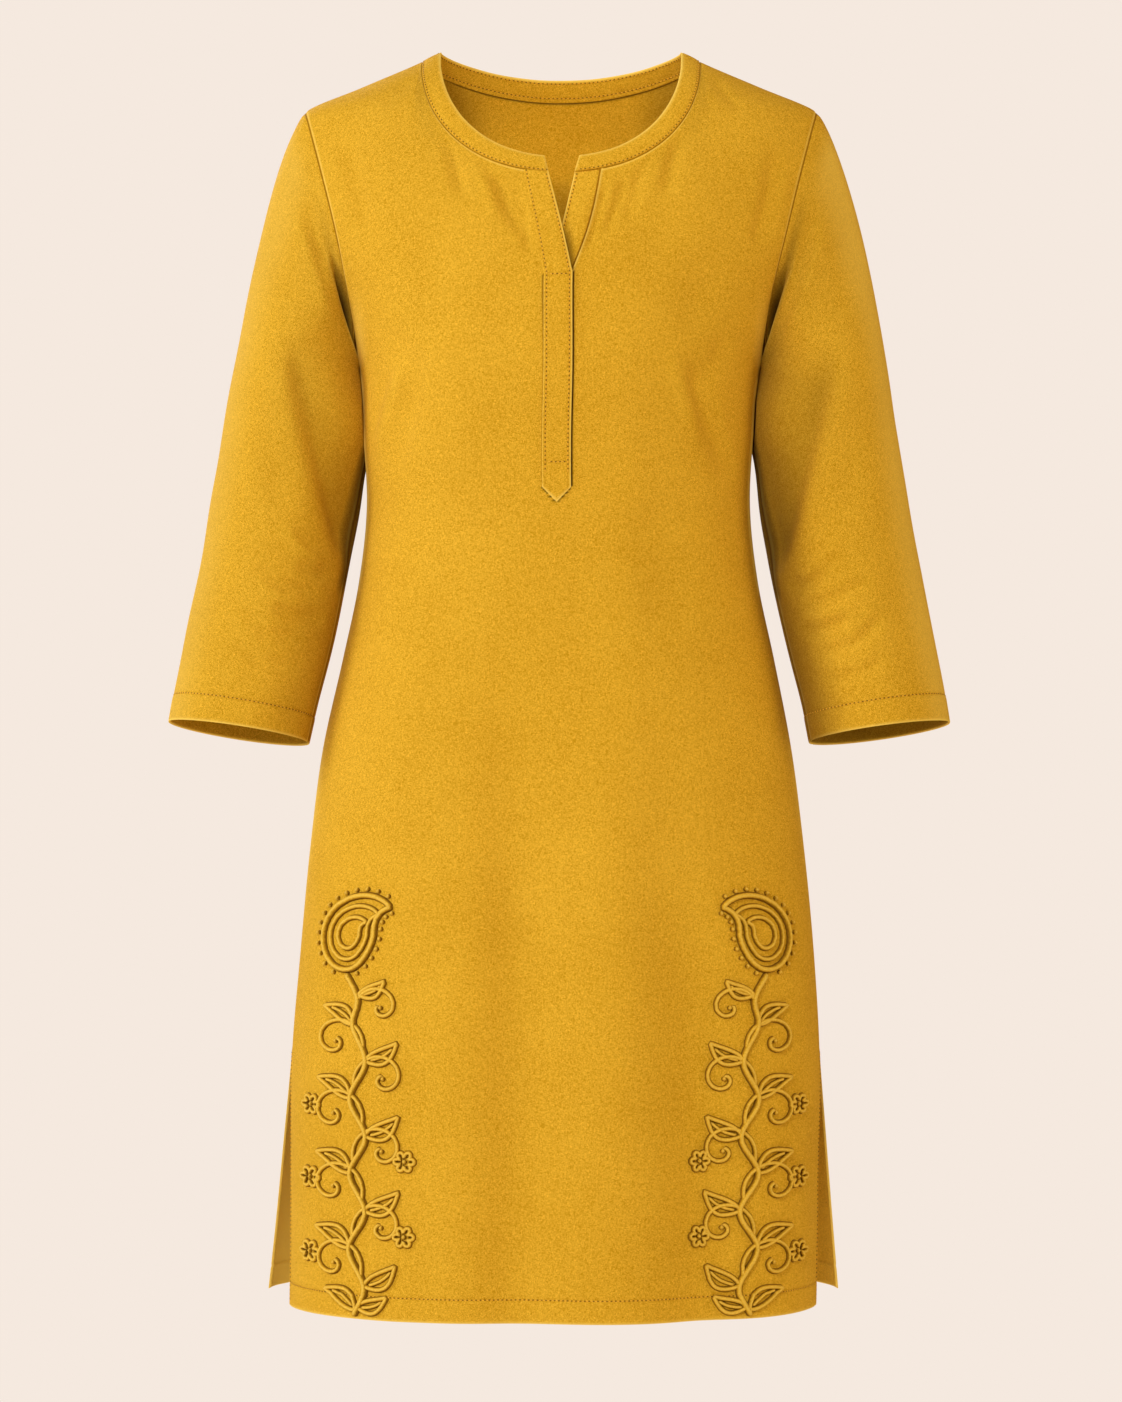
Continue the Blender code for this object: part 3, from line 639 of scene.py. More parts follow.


# The painted shadow on the front along the over placket's free edges, a thin dark line: a narrow
# bell of the distance outside its right edge, its left edge below the V, and its pointed end
def contactLine(x, level):
    left = placketLine(placket["overLeft"], level)
    right = placketLine(placket["overRight"], level)
    middle, half = (left + right) / 2, (right - left) / 2
    depth = placket["pointSideLevel"] - placket["pointLevel"]
    side = placket["pointSideLevel"] - depth * (1 - np.clip(np.abs(x - middle) / half, 0, 1))
    below = groove(side - level - 0.5, 0.8) * (np.abs(x - middle) < half)
    isUpright = level > placket["pointSideLevel"]
    onRight = groove(x - right - 0.5, 0.8) * isUpright
    onLeft = groove(left - x - 0.4, 0.5) * isUpright * (level < placket["barLevels"][0])
    return np.maximum(np.maximum(1.3 * onRight, 1.1 * below), 0.7 * onLeft)


frontBase, frontX, frontKeep = frontGrid()
underarmRow = len(panelLevels("front")) - 1
frontOuter, frontInner, frontEdge = finishPanel("front", frontBase, frontX)
slotColumn = len(panelAcross("front")) + panel["middleColumns"]  # the slot's right edge
slotGap = np.linalg.norm(frontBase - frontBase[:, slotColumn : slotColumn + 1], axis=2)
isRight = np.arange(frontBase.shape[1]) >= slotColumn
inSlot = (frontBase[:, :, 2] > placket["slotLevel"]) & isRight
lip = groove(slotGap, 1.6) * inSlot  # the folded edge that laps the under placket
frontOuter = frontOuter + (0.5 * lip)[..., None] * gridNormals(frontBase)
# a painted highlight along that folded edge
frontEdge = frontEdge + 1.2 * groove(slotGap, 1.2) * inSlot
# the shade mark is the painted shadow beside the over placket
frontMarks = {"edge": frontEdge, "shade": contactLine(frontX, frontBase[:, :, 2])}
frontUV = clothUV(frontOuter, slotColumn - 3)
front = makeShell("tunicFront", frontOuter, frontInner, frontUV, frontMarks, frontKeep)
print("front:", len(front.data.polygons), "faces")

# The back's inner side has painted shade below the neck and toward its sides, a painted shadow in
# a line under the band, and a painted highlight on the strips that show behind the slits
backBase, backX = backGrid()
backOuter, backInner, backEdge = finishPanel("back", backBase, backX)
backLevel = backBase[:, :, 2]
backTopGap = np.linalg.norm(backBase - backBase[-1:], axis=2)
inNeck = 0.42 * smoothStep(-backLevel, 72, 105) + 0.33 * smoothStep(np.abs(backX), 50, 88)
inNeck = inNeck * smoothStep(backLevel, -300, -200)
underBand = 0.8 * groove(backTopGap - 2.2, 1.3)
slitStrip = (1 - smoothStep(backX, -208, -186)) * smoothStep(-backLevel, 780, 800)
backMarks = {"edge": backEdge, "shade": 0 * backEdge}
backInside = {"edge": backEdge + slitStrip, "shade": np.maximum(underBand, inNeck)}
backUV = clothUV(backOuter, backOuter.shape[1] // 2)
back = makeShell("tunicBack", backOuter, backInner, backUV, backMarks, inside=backInside)
print("back:", len(back.data.polygons), "faces")

# Ellipses of the arm from the cap down to the cuff, and how the sleeve is set in and shaded
sleeveColumns = ("level", "centre", "halfWidth", "halfDepth", "forward", "sway")
sleeveRows = (
    (-252, 204.3, 49.5, 60, -7, -0.2),
    (-290, 205.8, 54, 59, -8, -0.8),
    (-330, 209.8, 56.3, 58, -7, -0.9),
    (-370, 216.5, 56, 57, -4, -1),
    (-410, 224, 56, 56, 0, -1),
    (-450, 232, 55.5, 54, 4, -1),
    (-490, 240.5, 54.5, 52, 9, -1.2),
    (-518, 245.8, 54, 51, 13, -1.4),
)
sleeve = {
    "fromShoulder": (0.62, 0.0, -0.78),  # how the cap leaves the armhole: outward, forward, up
    "fromUnderarm": (0.06, 0.0, -1.0),
    "valley": {"front": 0.75, "back": 0.35},
    "pull": {"armhole": 0.55, "arm": 0.75},
    "hemDepth": 20,
    "capSteps": 60,
    "armSteps": 84,
    "seamRoom": 0.15,  # between the sleeve and the armhole, and between it and the body ring
    "bodyRoom": 0.6,
    "seamRise": 0.8,  # how far the cloth rises out of the armhole seam
    "armRadius": 54,  # to turn an angle round the arm into a length
    "cuffTilt": {"up": 1.5, "inward": 2.3, "forward": -1.0},
    "pressIn": 9.0,  # how far the inner side leans onto the body below the underarm
    "seamForward": 9.0,  # the underarm seam lies this far in front of the sleeve's inner side
    "hollow": 11.0,  # depth of the fold in front of the underarm
    "earlyHollow": 2.4,  # and of the soft dip above it
    # strength of the painted shade on the left, -1, and right, 1, sleeve: in that dip, in the long
    # fold, along the inner side and inside the cuff, and the last is the strength of the painted
    # highlight on its outer side
    "earlyShade": {-1: 0.2, 1: 0.4},
    "foldShade": {-1: 0.14, 1: 0.24},
    "shade": {-1: 0.13, 1: 0.41},
    "insideShade": {-1: 0.05, 1: 0.42},
    "outerHighlight": {-1: 0.35, 1: 0.6},
}

# The long fold that runs from the front of the arm in to the elbow
longFold = (
    -8.0, (10, 20),
    [(205, -206), (199, -240), (188, -282), (177, -322), (166, -362), (156, -396)], (0.25, 0.2),
)
sleeveCreases = {
    # front view, x outward from the middle of the body, the same list serves both sleeves
    "front": [
        (-2.8, (5, 6), [(195, -104), (186, -138), (175, -170)]),
        (2.6, (8, 5), [(204, -112), (194, -146), (182, -182), (168, -216)]),
        (-2.4, (12, 12), [(222, -110), (216, -160), (208, -205)]),
        longFold,
        (-2.2, (12, 14), [(226, -262), (216, -320), (206, -366)]),
        # wrinkles at the elbow
        (3.0, (5, 5), [(214, -356), (198, -376), (180, -392)]),
        (-2.8, (4, 5), [(202, -386), (188, -394), (172, -396)]),
        (-2.8, (5, 5), [(238, -388), (212, -404), (178, -412)]),
        (-3.2, (5, 5), [(222, -418), (202, -428), (178, -430)]),
        (-3.0, (6, 5), [(248, -414), (224, -440), (190, -448)]),
        (-2.4, (6, 5), [(250, -446), (228, -462), (196, -470)]),
        (1.6, (5, 4), [(232, -396), (212, -414), (190, -420)]),
    ],
    "back": [
        (-4.2, (9, 10), [(198, -92), (186, -140), (170, -196)]),
        (-4.6, (11, 10), [(214, -230), (198, -262), (176, -286)]),
        (-3.2, (9, 9), [(230, -262), (212, -300), (186, -330)]),
        (-4.8, (7, 9), [(182, -336), (214, -352), (256, -346)]),
        (-4.4, (6, 8), [(188, -362), (220, -376), (262, -370)]),
        (-3.4, (6, 8), [(196, -390), (224, -402), (262, -398)]),
        (-2.8, (8, 8), [(266, -420), (240, -446), (212, -462)]),
    ],
    # seen from outside, y in place of x: soft wrinkles that run round the elbow from the back
    "outer": [
        (-3.2, (7, 8), [(62, -342), (38, -362), (12, -368)]),
        (-2.8, (6, 8), [(60, -376), (34, -388), (8, -384)]),
        (-2.2, (6, 8), [(58, -404), (32, -412), (10, -424)]),
        (-2.4, (10, 12), [(22, -120), (20, -176), (26, -250)]),
    ],
}
sleeveShift = {-1: 0, 1: 9}  # the right sleeve's creases sit this much lower, so the two differ


# A column of the sleeves' table, smoothly between its rows
def sleeveValue(name, level):
    return float(smoothLookup(sleeveRows, sleeveColumns, name, level))


# Middle of the arm at a level, from the table's centre, sway and forward columns
def armCentre(level, hand):
    x = hand * sleeveValue("centre", level) + sleeveValue("sway", level)
    return np.array([x, -sleeveValue("forward", level), level])


# Ellipse square to the arm. The angle is 0 outside, a quarter turn in front, half a turn inside
def armRing(level, hand, angle):
    above = min(level + 10, sleeveRows[0][0])
    below = max(level - 10, sleeveRows[-1][0])
    up = armCentre(above, hand) - armCentre(below, hand)
    up /= np.linalg.norm(up)
    outward = np.cross([0, hand, 0], up)
    outward /= np.linalg.norm(outward)
    forward = hand * np.cross(outward, up)
    wide, deep = sleeveValue("halfWidth", level), sleeveValue("halfDepth", level)
    ring = wide * np.cos(angle)[:, None] * outward + deep * np.sin(angle)[:, None] * forward
    return armCentre(level, hand) + ring


# The armhole edge of both panels as one ring, from the underarm up the front and down the back
def armholeRing(frontPoints, backPoints, hand):
    frontSide = frontPoints[underarmRow:, 0 if hand < 0 else -1]
    backSide = backPoints[underarmRow:, -1 if hand < 0 else 0]
    return np.concatenate([frontSide, backSide[-2:0:-1]])


# Share of the way along the seam from the underarm to the shoulder, up the front and down the back
def ringHeights(ring):
    rows = panel["rowsAbove"]
    travelled = lengthAlong(np.concatenate([ring, ring[:1]]))
    upFront = travelled[: rows + 1] / travelled[rows]
    downBack = (travelled[-1] - travelled[rows + 1 : -1]) / (travelled[-1] - travelled[rows])
    return np.concatenate([upFront, downBack])


# A sleeve's plain surface: a cap that is a cubic from each armhole point to the first arm ellipse,
# then arm ellipses down to the cuff. Its inner side leans onto the body below the underarm and
# stays clear of the body ring. Comes with each column's angle round the arm and share of the way
# to the shoulder, and each row's distance from the cuff
def sleeveBase(hand):
    ring = armholeRing(frontOuter, backOuter, hand)
    height = ringHeights(ring)
    isFront = np.arange(len(ring)) <= panel["rowsAbove"]
    angle = np.where(isFront, 1, -1) * np.pi * (1 - height)
    topLevel, cuff = sleeveRows[0][0], sleeveRows[-1][0]
    start = ring + np.array([hand * sleeve["seamRoom"], 0, 0])
    end = armRing(topLevel, hand, angle)
    reach = np.linalg.norm(end - start, axis=1, keepdims=True)
    shoulder = np.array(sleeve["fromShoulder"]) * [hand, 1, 1]
    underarm = np.array(sleeve["fromUnderarm"]) * [hand, 1, 1]
    leave = underarm + (shoulder - underarm) * height[:, None]
    valley = np.where(isFront, sleeve["valley"]["front"], -sleeve["valley"]["back"])
    leave[:, 1] += valley * np.sin(np.pi * height) * (1 - height)
    leave *= reach * sleeve["pull"]["armhole"] / np.linalg.norm(leave, axis=1, keepdims=True)
    arrive = armRing(topLevel - 20, hand, angle) - end
    arrive *= reach * sleeve["pull"]["arm"] / np.linalg.norm(arrive, axis=1, keepdims=True)
    t = (np.linspace(0, 1, sleeve["capSteps"] + 1) ** 1.4)[:, None, None]
    cap = cubic(t, start, end, leave, arrive)
    hemRows = cuff + sleeve["hemDepth"] / body["hemDepth"] * np.array(panel["hemSteps"])[::-1]
    levels = np.linspace(topLevel, hemRows[0], sleeve["armSteps"])[1:-1]
    levels = np.concatenate([levels, hemRows])
    arm = np.stack([armRing(level, hand, angle) for level in levels])
    order = slice(None, None, -hand)
    base = np.concatenate([cap, arm])[:, order]
    inward, forward = -np.cos(angle)[order], np.sin(angle)[order]
    level = base[:, :, 2]
    lean = sleeve["pressIn"] * groove(level + 272, 30) * smoothStep(inward, 0, 1)
    outward = hand * (base[:, :, 0] - bodyValue("sway", level)) - lean
    clear = bodyReach(np.maximum(base[:, :, 1], 0), level) + sleeve["bodyRoom"]
    isBelow = level < body["underarmLevel"] + 2
    outward = np.where(isBelow, np.maximum(outward, clear), outward)
    base[:, :, 0] = hand * outward + bodyValue("sway", level)
    tilt = sleeve["cuffTilt"]
    tilt = tilt["up"] + tilt["inward"] * inward + tilt["forward"] * forward
    base[:, :, 2] += smoothStep(-level, 440, 518) * tilt
    fromCuff = np.concatenate([np.full(len(cap), 200.0), levels - cuff])
    return base, angle[order], height[order], fromCuff


# The hollow in front of the underarm, the fold of cloth that stands over it, and the soft dip above
# it: bells of the distance from the armhole seam, wider toward the shoulder
def underarmHollow(seamGap, forward, level):
    up = np.clip((level + 236) / 70, 0, 1)
    beyond = seamGap - 4 - 8 * up
    lip = 1.4 + 1.6 * up
    isFront = smoothStep(forward, 0.0, 0.4)
    near = isFront * window(level, (-248, -228, -200, -140))
    hollow = groove(beyond, np.where(beyond < 0, 3.6 + 6.4 * up, lip)) * near
    fold = groove(beyond - 2.4 * lip, 1.3) * near
    early = groove(seamGap - 9 - 4 * up, 6.5) * isFront * window(level, (-225, -190, -165, -95))
    return hollow, fold, early


# A sleeve's two sides, cloth coordinates and marks: its plain surface moved along its normal by
# creases, by the hollow in front of the underarm, by the rise out of the armhole seam, which is 1
# minus a bell of the distance from it, and by the turned hem
def sleeveGrids(hand):
    base, angle, height, fromCuff = sleeveBase(hand)
    inward, forward = -np.cos(angle), np.sin(angle)
    normal = gridNormals(base, wrap=True)
    seamGap = np.linalg.norm(base - base[:1], axis=2)
    hemGap = fromCuff[:, None] + 0 * seamGap
    outX, level = np.abs(base[:, :, 0]), base[:, :, 2] + sleeveShift[hand]
    facing = {
        "front": smoothStep(-normal[:, :, 1], 0.0, 0.5),
        "back": smoothStep(normal[:, :, 1], 0.0, 0.5),
        "outer": smoothStep(hand * normal[:, :, 0], 0.3, 0.9),
    }
    move = softWaves(outX, level, *waves[hand])
    for side, across in (("front", outX), ("back", outX), ("outer", base[:, :, 1])):
        move = move + creaseField(across, level, sleeveCreases[side]) * facing[side]
    move = move * smoothStep(seamGap, 0, 22) * smoothStep(hemGap, -10, 30)
    hollow, fold, early = underarmHollow(seamGap, forward, base[:, :, 2])
    move = move - sleeve["hollow"] * hollow + 0.5 * fold - sleeve["earlyHollow"] * early
    hemLine = groove(hemGap - sleeve["hemDepth"], 1.0)
    turned = 1 - smoothStep(hemGap, sleeve["hemDepth"] - 1, sleeve["hemDepth"] + 1)
    doubled = body["turnedLift"] * turned
    fromUnder = np.arctan2(np.sin(angle), -np.cos(angle)) * sleeve["armRadius"]
    fromUnder = fromUnder - sleeve["seamForward"]
    underSeam = groove(fromUnder, 1.6) * smoothStep(seamGap, 4, 20)
    seamFold = groove(fromUnder - 3.6, 1.9) * smoothStep(seamGap, 4, 20)
    rise = sleeve["seamRise"] * (1 - groove(seamGap, 2.4))
    move = move + rise - body["lineDip"] * hemLine + doubled - 0.7 * underSeam
    surface = base + move[..., None] * normal
    outer, inner = clothSides(surface, normal, hemGap, body["wall"] + 2 * doubled, wrap=True)
    order = slice(None, None, -hand)
    panelNormal = armholeRing(gridNormals(frontOuter), gridNormals(backOuter), hand)[order]
    withBody = np.clip(height / 0.35, 0, 1)[:, None]
    allowance = (1 - withBody) * np.array([hand, 0, 0]) - withBody * panelNormal
    allowance /= np.linalg.norm(allowance, axis=1, keepdims=True)
    inner[0] = outer[0] + body["wall"] * allowance
    closed = np.concatenate([outer, outer[:, :1]], axis=1)
    uv = clothUV(closed, closed.shape[1] // 2)
    # edge marks: a painted highlight on the hem's fold, beside the underarm seam, on the lip of the
    # fold and on the outer side, and painted shade in the armhole seam, the hem line and the
    # underarm seam
    hemEdge = groove(hemGap, 1.2)
    edge = 1.2 * hemEdge - 1.1 * groove(seamGap - 0.2, 0.6) - 0.3 * hemLine
    edge = edge - underSeam + 1.3 * seamFold + 0.7 * fold
    outerSide = smoothStep(-inward, 0.5, 1.0) * smoothStep(seamGap, 4, 30)
    edge = edge + sleeve["outerHighlight"][hand] * outerSide
    # painted shade along the inner side, in the gap where it lies on the body, in the armhole seam,
    # in the soft dip, along the long fold and in the hollow
    shade = sleeve["shade"][hand] * smoothStep(inward, 0.3, 0.95) * smoothStep(-140 - level, 0, 80)
    tucked = 0.7 * smoothStep(inward, 0.86, 0.97) * window(-level, (236, 256, 398, 420))
    shade = np.maximum(np.maximum(shade, tucked), 0.25 * groove(seamGap - 0.2, 0.5))
    longMark = creaseField(outX, level, [longFold]) / longFold[0] * facing["front"]
    shade = np.maximum(shade, sleeve["earlyShade"][hand] * early)
    shade = np.maximum(shade + sleeve["foldShade"][hand] * longMark, 0.97 * hollow)
    # painted shade inside the cuff, with a painted highlight on its fold
    inside = {"edge": 1.2 * hemEdge, "shade": sleeve["insideShade"][hand] * (1 - hemEdge)}
    return outer, inner, uv, {"edge": edge, "shade": shade}, inside


sleeves = {}
for name, hand in (("sleeveLeft", -1), ("sleeveRight", 1)):
    outer, inner, uv, marks, inside = sleeveGrids(hand)
    piece = makeShell(name, outer, inner, uv, marks, inside=inside)
    sleeves[hand] = {"piece": piece, "outer": outer}
    print(name + ":", len(piece.data.polygons), "faces")


band = {
    # profile of the folded strip: share of its height from the seam, and height off the cloth
    "profile": (
        (0.012, -0.45), (0.04, -0.05), (0.075, 0.2), (0.105, 0.12), (0.135, 0.3), (0.22, 0.6),
        (0.36, 0.75), (0.52, 0.78), (0.68, 0.72), (0.8, 0.6), (0.88, 0.42), (0.94, 0.15),
        (0.98, -0.2), (1.0, -0.65), (0.985, -1.1), (0.95, -1.45), (0.9, -1.62), (0.86, -1.6),
        (0.82, -1.72), (0.7, -1.95), (0.52, -2.1), (0.36, -2.1), (0.24, -2.0), (0.17, -1.9),
        (0.14, -1.8), (0.11, -1.92), (0.0, -2.05), (-0.07, -2.0), (-0.09, -1.75), (-0.05, -1.58),
        (0.0, -1.5), (0.012, -1.1),
    ),
    "stitched": {"outside": 0.105, "inside": (0.86, 0.14)},  # shares of its height
    "height": 14,
    "middle": -0.65,  # the profile's middle, toward which it is thinned at the band's ends
    "uneven": 0.18,  # the band isn't quite even along its length
    "frontSteps": 84,
    "backSteps": 84,
    "endSteps": 12,
}


# Turns of one front half of the band, with more steps to its slanted end
def bandEnd(turns, end, across):
    last = neckTurnAt(end[0] + (end[1] - end[0]) * across, across)
    return np.concatenate([turns, np.linspace(turns[-1], last, band["endSteps"] + 1)[1:]])


# The band's middle surface at one share of its height, from its right end over the back to its left
def bandLine(across):
    steps = np.linspace(0, 1, band["frontSteps"] + 1)
    right = bandEnd(neckTurns("front", slotRightLine(0), steps), neck["rightEnd"], across)
    left = bandEnd(neckTurns("front", slotLeftLine(0), steps), neck["leftEnd"], across)
    around = neckTurns("back", 0.0, np.linspace(0, 1, band["backSteps"] + 1))[1:]
    rightLine = onBody("front", *neckCurve("front", right[::-1], across))
    leftX, leftLevel = neckCurve("front", left, across)
    halfX, halfLevel = neckCurve("back", around, across)
    backX = np.concatenate([halfX, -halfX[-2::-1]])
    backLine = onBody("back", backX, np.concatenate([halfLevel, halfLevel[-2::-1]]))
    return np.concatenate([rightLine, backLine, onBody("front", -leftX, leftLevel)])


# The band's profile carried along its middle surface, between the two nearest of its heights. The
# profile is thinned toward both ends, and a product of two sines makes it slightly uneven
def bandRings():
    heights = np.linspace(-0.1, 1.0, 23)
    surface = np.stack([bandLine(across) for across in heights])
    normals = gridNormals(surface)
    along = lengthAlong(surface[len(heights) // 2 + 1])
    endGap = np.minimum(along, along[-1] - along)
    across, depth = np.array(band["profile"]).T
    row = (across - heights[0]) / (heights[1] - heights[0])
    low = np.clip(row.astype(int), 0, len(heights) - 2)
    part = (row - low)[:, None, None]
    points = surface[low] * (1 - part) + surface[low + 1] * part
    normal = normals[low] * (1 - part) + normals[low + 1] * part
    thinned = (depth[:, None] - band["middle"]) * roundedEdge(endGap, 1.0, 0.4)
    uneven = band["uneven"] * np.sin(along / 9.0) * np.sin(along / 23.0 + 1.0)
    rings = points + (band["middle"] + thinned + uneven)[..., None] * normal
    uv = np.stack(np.broadcast_arrays(along, across[:, None] * band["height"]), axis=-1) * mm
    isOutside = depth > -1
    seam = groove(across, 0.03) * isOutside
    lines = groove(across - band["stitched"]["outside"], 0.035) * isOutside
    for share in band["stitched"]["inside"]:
        lines = lines + groove(across - share, 0.04) * ~isOutside
    # edge marks: a painted highlight along the top fold and at both ends, and painted shade in the
    # seam and the stitched lines
    edge = 1.2 * groove(across - 0.99, 0.09) - 0.9 * seam - 0.3 * lines
    return rings, normal, uv, edge[:, None] + groove(endGap, 1.0)


bandPoints, bandNormals, bandUV, bandEdge = bandRings()
bandTube = [grid.swapaxes(0, 1)[:, ::-1] for grid in (bandPoints, bandUV, bandEdge)]
neckBand = makeTubes("neckBand", [(bandTube[0], bandTube[1], {"edge": bandTube[2]})])
print("neck band:", len(neckBand.data.polygons), "faces")


strip = {
    "acrossShares": (
        0, 0.012, 0.035, 0.07, 0.105, 0.14, 0.19, 0.26, 0.36, 0.5, 0.64, 0.74, 0.81, 0.86, 0.895,
        0.93, 0.965, 0.988, 1.0,
    ),
    "rows": 150,
    "stitched": (0.105, 0.895),  # shares of its width
    "stitchIn": 2.0,  # and how far in from the edge that is
    "belowBand": 0.6,
    "pointReach": 6,  # rows this far above the lower end are drawn toward the point
    "edgeRadius": 0.55,
    "edgeLeast": 0.15,
    "over": {"lift": 0.12, "thick": 1.15, "flushTo": 5.0, "flushAbove": -176.0},
    "under": {"lift": -1.35, "thick": 1.15},
}


# Points of a placket between two edges: a share across it for each column, levels from its lower
# end up to the neck seam, and a fan of rows toward its point when it has one. The upper rows turn
# to follow the neck seam by the eighth power of the way up
def stripGrid(leftEdge, rightEdge, bottom, point=0.0):
    across = np.array(strip["acrossShares"])
    top = neckLevelAt((leftEdge[0] + rightEdge[0]) / 2)
    nominal = np.linspace(bottom, top, strip["rows"])
    left, right = placketLine(leftEdge, nominal), placketLine(rightEdge, nominal)
    width = (right - left)[:, None]
    x = left[:, None] + width * across
    share = ((nominal - bottom) / (top - bottom))[:, None]
    level = nominal[:, None] + (neckLevelAt(x[-1]) - strip["belowBand"] - top) * share**8
    fan = np.exp(-(nominal - bottom) / strip["pointReach"])[:, None]
    level = level - point * (1 - np.abs(2 * across - 1)) * fan
    return x, level, across * width, (1 - across) * width


# The cloth surface that a placket lies on: the body ring moved by the front's folds
def placketBase(x, level):
    toSeam = neckLevelAt(np.clip(x, -60, 60)) - level
    base = onBody("front", x, level)
    normal = gridNormals(base)
    move = panelFolds("front", x, level) * smoothStep(toSeam, 0, body["foldFade"]["top"])
    return base + move[..., None] * normal, normal


# A grid of a placket's outer side with one of its inner side, as a loop round it for each row
def outAndBack(outer, inner):
    return np.concatenate([outer, inner[:, ::-1]], axis=1)


# A placket's outer side and normals, and its rings and cloth coordinates: a strip of a thickness
# that rounds off toward its edges, lifted off the cloth
def stripRings(x, level, outerLift, thick, fromLeft, fromRight):
    base, normal = placketBase(x, level)
    free = np.minimum(np.minimum(fromLeft, fromRight), level - level[0])
    half = thick / 2 * roundedEdge(free, strip["edgeRadius"], strip["edgeLeast"])
    middle = outerLift - thick / 2
    outer = base + (middle + half)[..., None] * normal
    inner = base + (middle - half)[..., None] * normal
    uv = np.stack([x + 300, level], axis=-1) * mm  # off the front's, so the grain differs
    return outer, normal, outAndBack(outer, inner), outAndBack(uv, uv)


over, under = strip["over"], strip["under"]
overX, overLevel, overLeft, overRight = stripGrid(
    placket["overLeft"], placket["overRight"], placket["pointSideLevel"],
    placket["pointSideLevel"] - placket["pointLevel"],
)
overLines = np.maximum(groove(overLeft - strip["stitchIn"]), groove(overRight - strip["stitchIn"]))
overLines = overLines + sum(groove(overLevel - bar) for bar in placket["barLevels"])
overLines = 0.25 * np.clip(overLines, 0, 1)
overFlush = smoothStep(overLevel, over["flushAbove"] - 6, over["flushAbove"] + 2)
overFlush = 0.75 * overFlush * (1 - smoothStep(overLeft, 0, over["flushTo"]))
standsOff = 1.3 * groove(overLevel + 160, 38) * smoothStep(overLeft, 4, 18)  # round the V's bottom
overLift = over["lift"] + over["thick"] * (1 - overFlush) - overLines + standsOff
overOuter, overNormal, overRings, overUV = stripRings(
    overX, overLevel, overLift, over["thick"], overLeft, overRight
)
overBottom = (overLevel - overLevel[0]) * 0.8
# edge marks: a painted highlight along the right edge, the pointed end and, below the upper bar,
# the left edge, and painted shade in the stitched lines
overEdge = 1.3 * np.maximum(groove(overRight, 1.1), groove(overBottom, 1.2)) - overLines
overEdge = overEdge + 0.45 * groove(overLeft) * (1 - smoothStep(overLevel, -184, -172))
overMarks = {"edge": outAndBack(overEdge, overEdge)}
placketOver = makeTubes("placketOver", [(overRings, overUV, overMarks)])

underX, underLevel, underLeft, underRight = stripGrid(
    placket["underLeft"], placket["underRight"], placket["slotLevel"] + 0.5
)
underLine = 0.2 * groove(underLeft - strip["stitchIn"])
underLift = under["lift"] + under["thick"] - underLine - 1.6 * (1 - smoothStep(underLeft, 0, 14))
underOuter, underNormal, underRings, underUV = stripRings(
    underX, underLevel, underLift, under["thick"], underLeft, underRight
)
# edge marks: a painted highlight along the free left edge, and painted shade at the right seam and
# the stitched line
underEdge = 1.3 * groove(underLeft, 1.1) - 1.2 * groove(underRight, 0.8) - underLine
# painted shadow on the under placket where the over placket lies on it
beneath = 0.7 * groove(underX - placketLine(placket["overRight"], underLevel), 4.0)
beneath = beneath * smoothStep(-underLevel, 128, 150)  # where the over placket lies on it
underMarks = {
    "edge": outAndBack(underEdge, underEdge),
    "shade": np.concatenate([beneath, beneath], axis=1),
}
placketUnder = makeTubes("placketUnder", [(underRings, underUV, underMarks)])
print("plackets:", len(placketOver.data.polygons) + len(placketUnder.data.polygons), "faces")


thread = {
    "pitch": 3.3,  # from one stitch to the next
    "radius": 0.4,
    "sides": 6,
    "rise": 0.14,  # height of its middle off the cloth
    # rings of a stitch and of the needle hole after it: way along it, share of the radius, dip, and
    # how much painted shade it takes
    "rings": (
        (-1.0, 0.2, -0.15, 0.0), (-0.8, 0.9, -0.05, 0.0), (0.0, 1.0, 0.0, 0.0),
        (0.65, 0.85, -0.08, 0.0), (0.8, 0.9, -0.12, 1.0), (1.3, 1.15, -0.15, 1.0),
        (1.8, 0.9, -0.12, 1.0),
    ),
}


# Middle, way, side and up of each stitch on a line of the cloth, one at each pitch of its length
def stitchRow(path, normals):
    along = lengthAlong(path)
    at = np.arange(thread["pitch"], along[-1] - thread["pitch"] / 2, thread["pitch"])
    middle, ahead, up = (
        np.stack([np.interp(where, along, values[:, i]) for i in range(3)], axis=1)
        for where, values in ((at, path), (at + 0.5, path), (at, normals))
    )
    way = ahead - middle
    way /= np.linalg.norm(way, axis=1, keepdims=True)
    up -= np.sum(up * way, axis=1, keepdims=True) * way
    up /= np.linalg.norm(up, axis=1, keepdims=True)
    return middle + thread["rise"] * up, way, np.cross(way, up), up


# Each stitch is a rod of thread, and after it a lower one with painted shade, where the needle went
# in
def makeStitches(name, rows):
    placed = zip(*[stitchRow(path, normals) for path, normals in rows])
    middle, way, side, up = (np.concatenate(part) for part in placed)
    along, share, dip, dark = np.array(thread["rings"]).T
    sides = thread["sides"]
    angle = np.arange(sides) * 2 * np.pi / sides
    radius = thread["radius"] * share
    local = np.zeros((len(along), sides, 3))
    local[:, :, 0] = along[:, None]
    local[:, :, 1] = radius[:, None] * np.cos(angle)
    local[:, :, 2] = radius[:, None] * np.sin(angle) + dip[:, None]
    frames = np.stack([way, side, up], axis=1)
    points = middle[:, None, None] + np.einsum("rsk,nkc->nrsc", local, frames)
    first = np.arange(len(middle))[:, None, None] * len(along) * sides
    faces = (tubeFaces(len(along), sides)[:, ::-1] + first).reshape(-1, 4)
    marks = {"shade": np.tile(np.repeat(dark, sides), len(middle))}
    return makeMesh(name, points.reshape(-1, 3), faces, marks=marks, sharp=80)


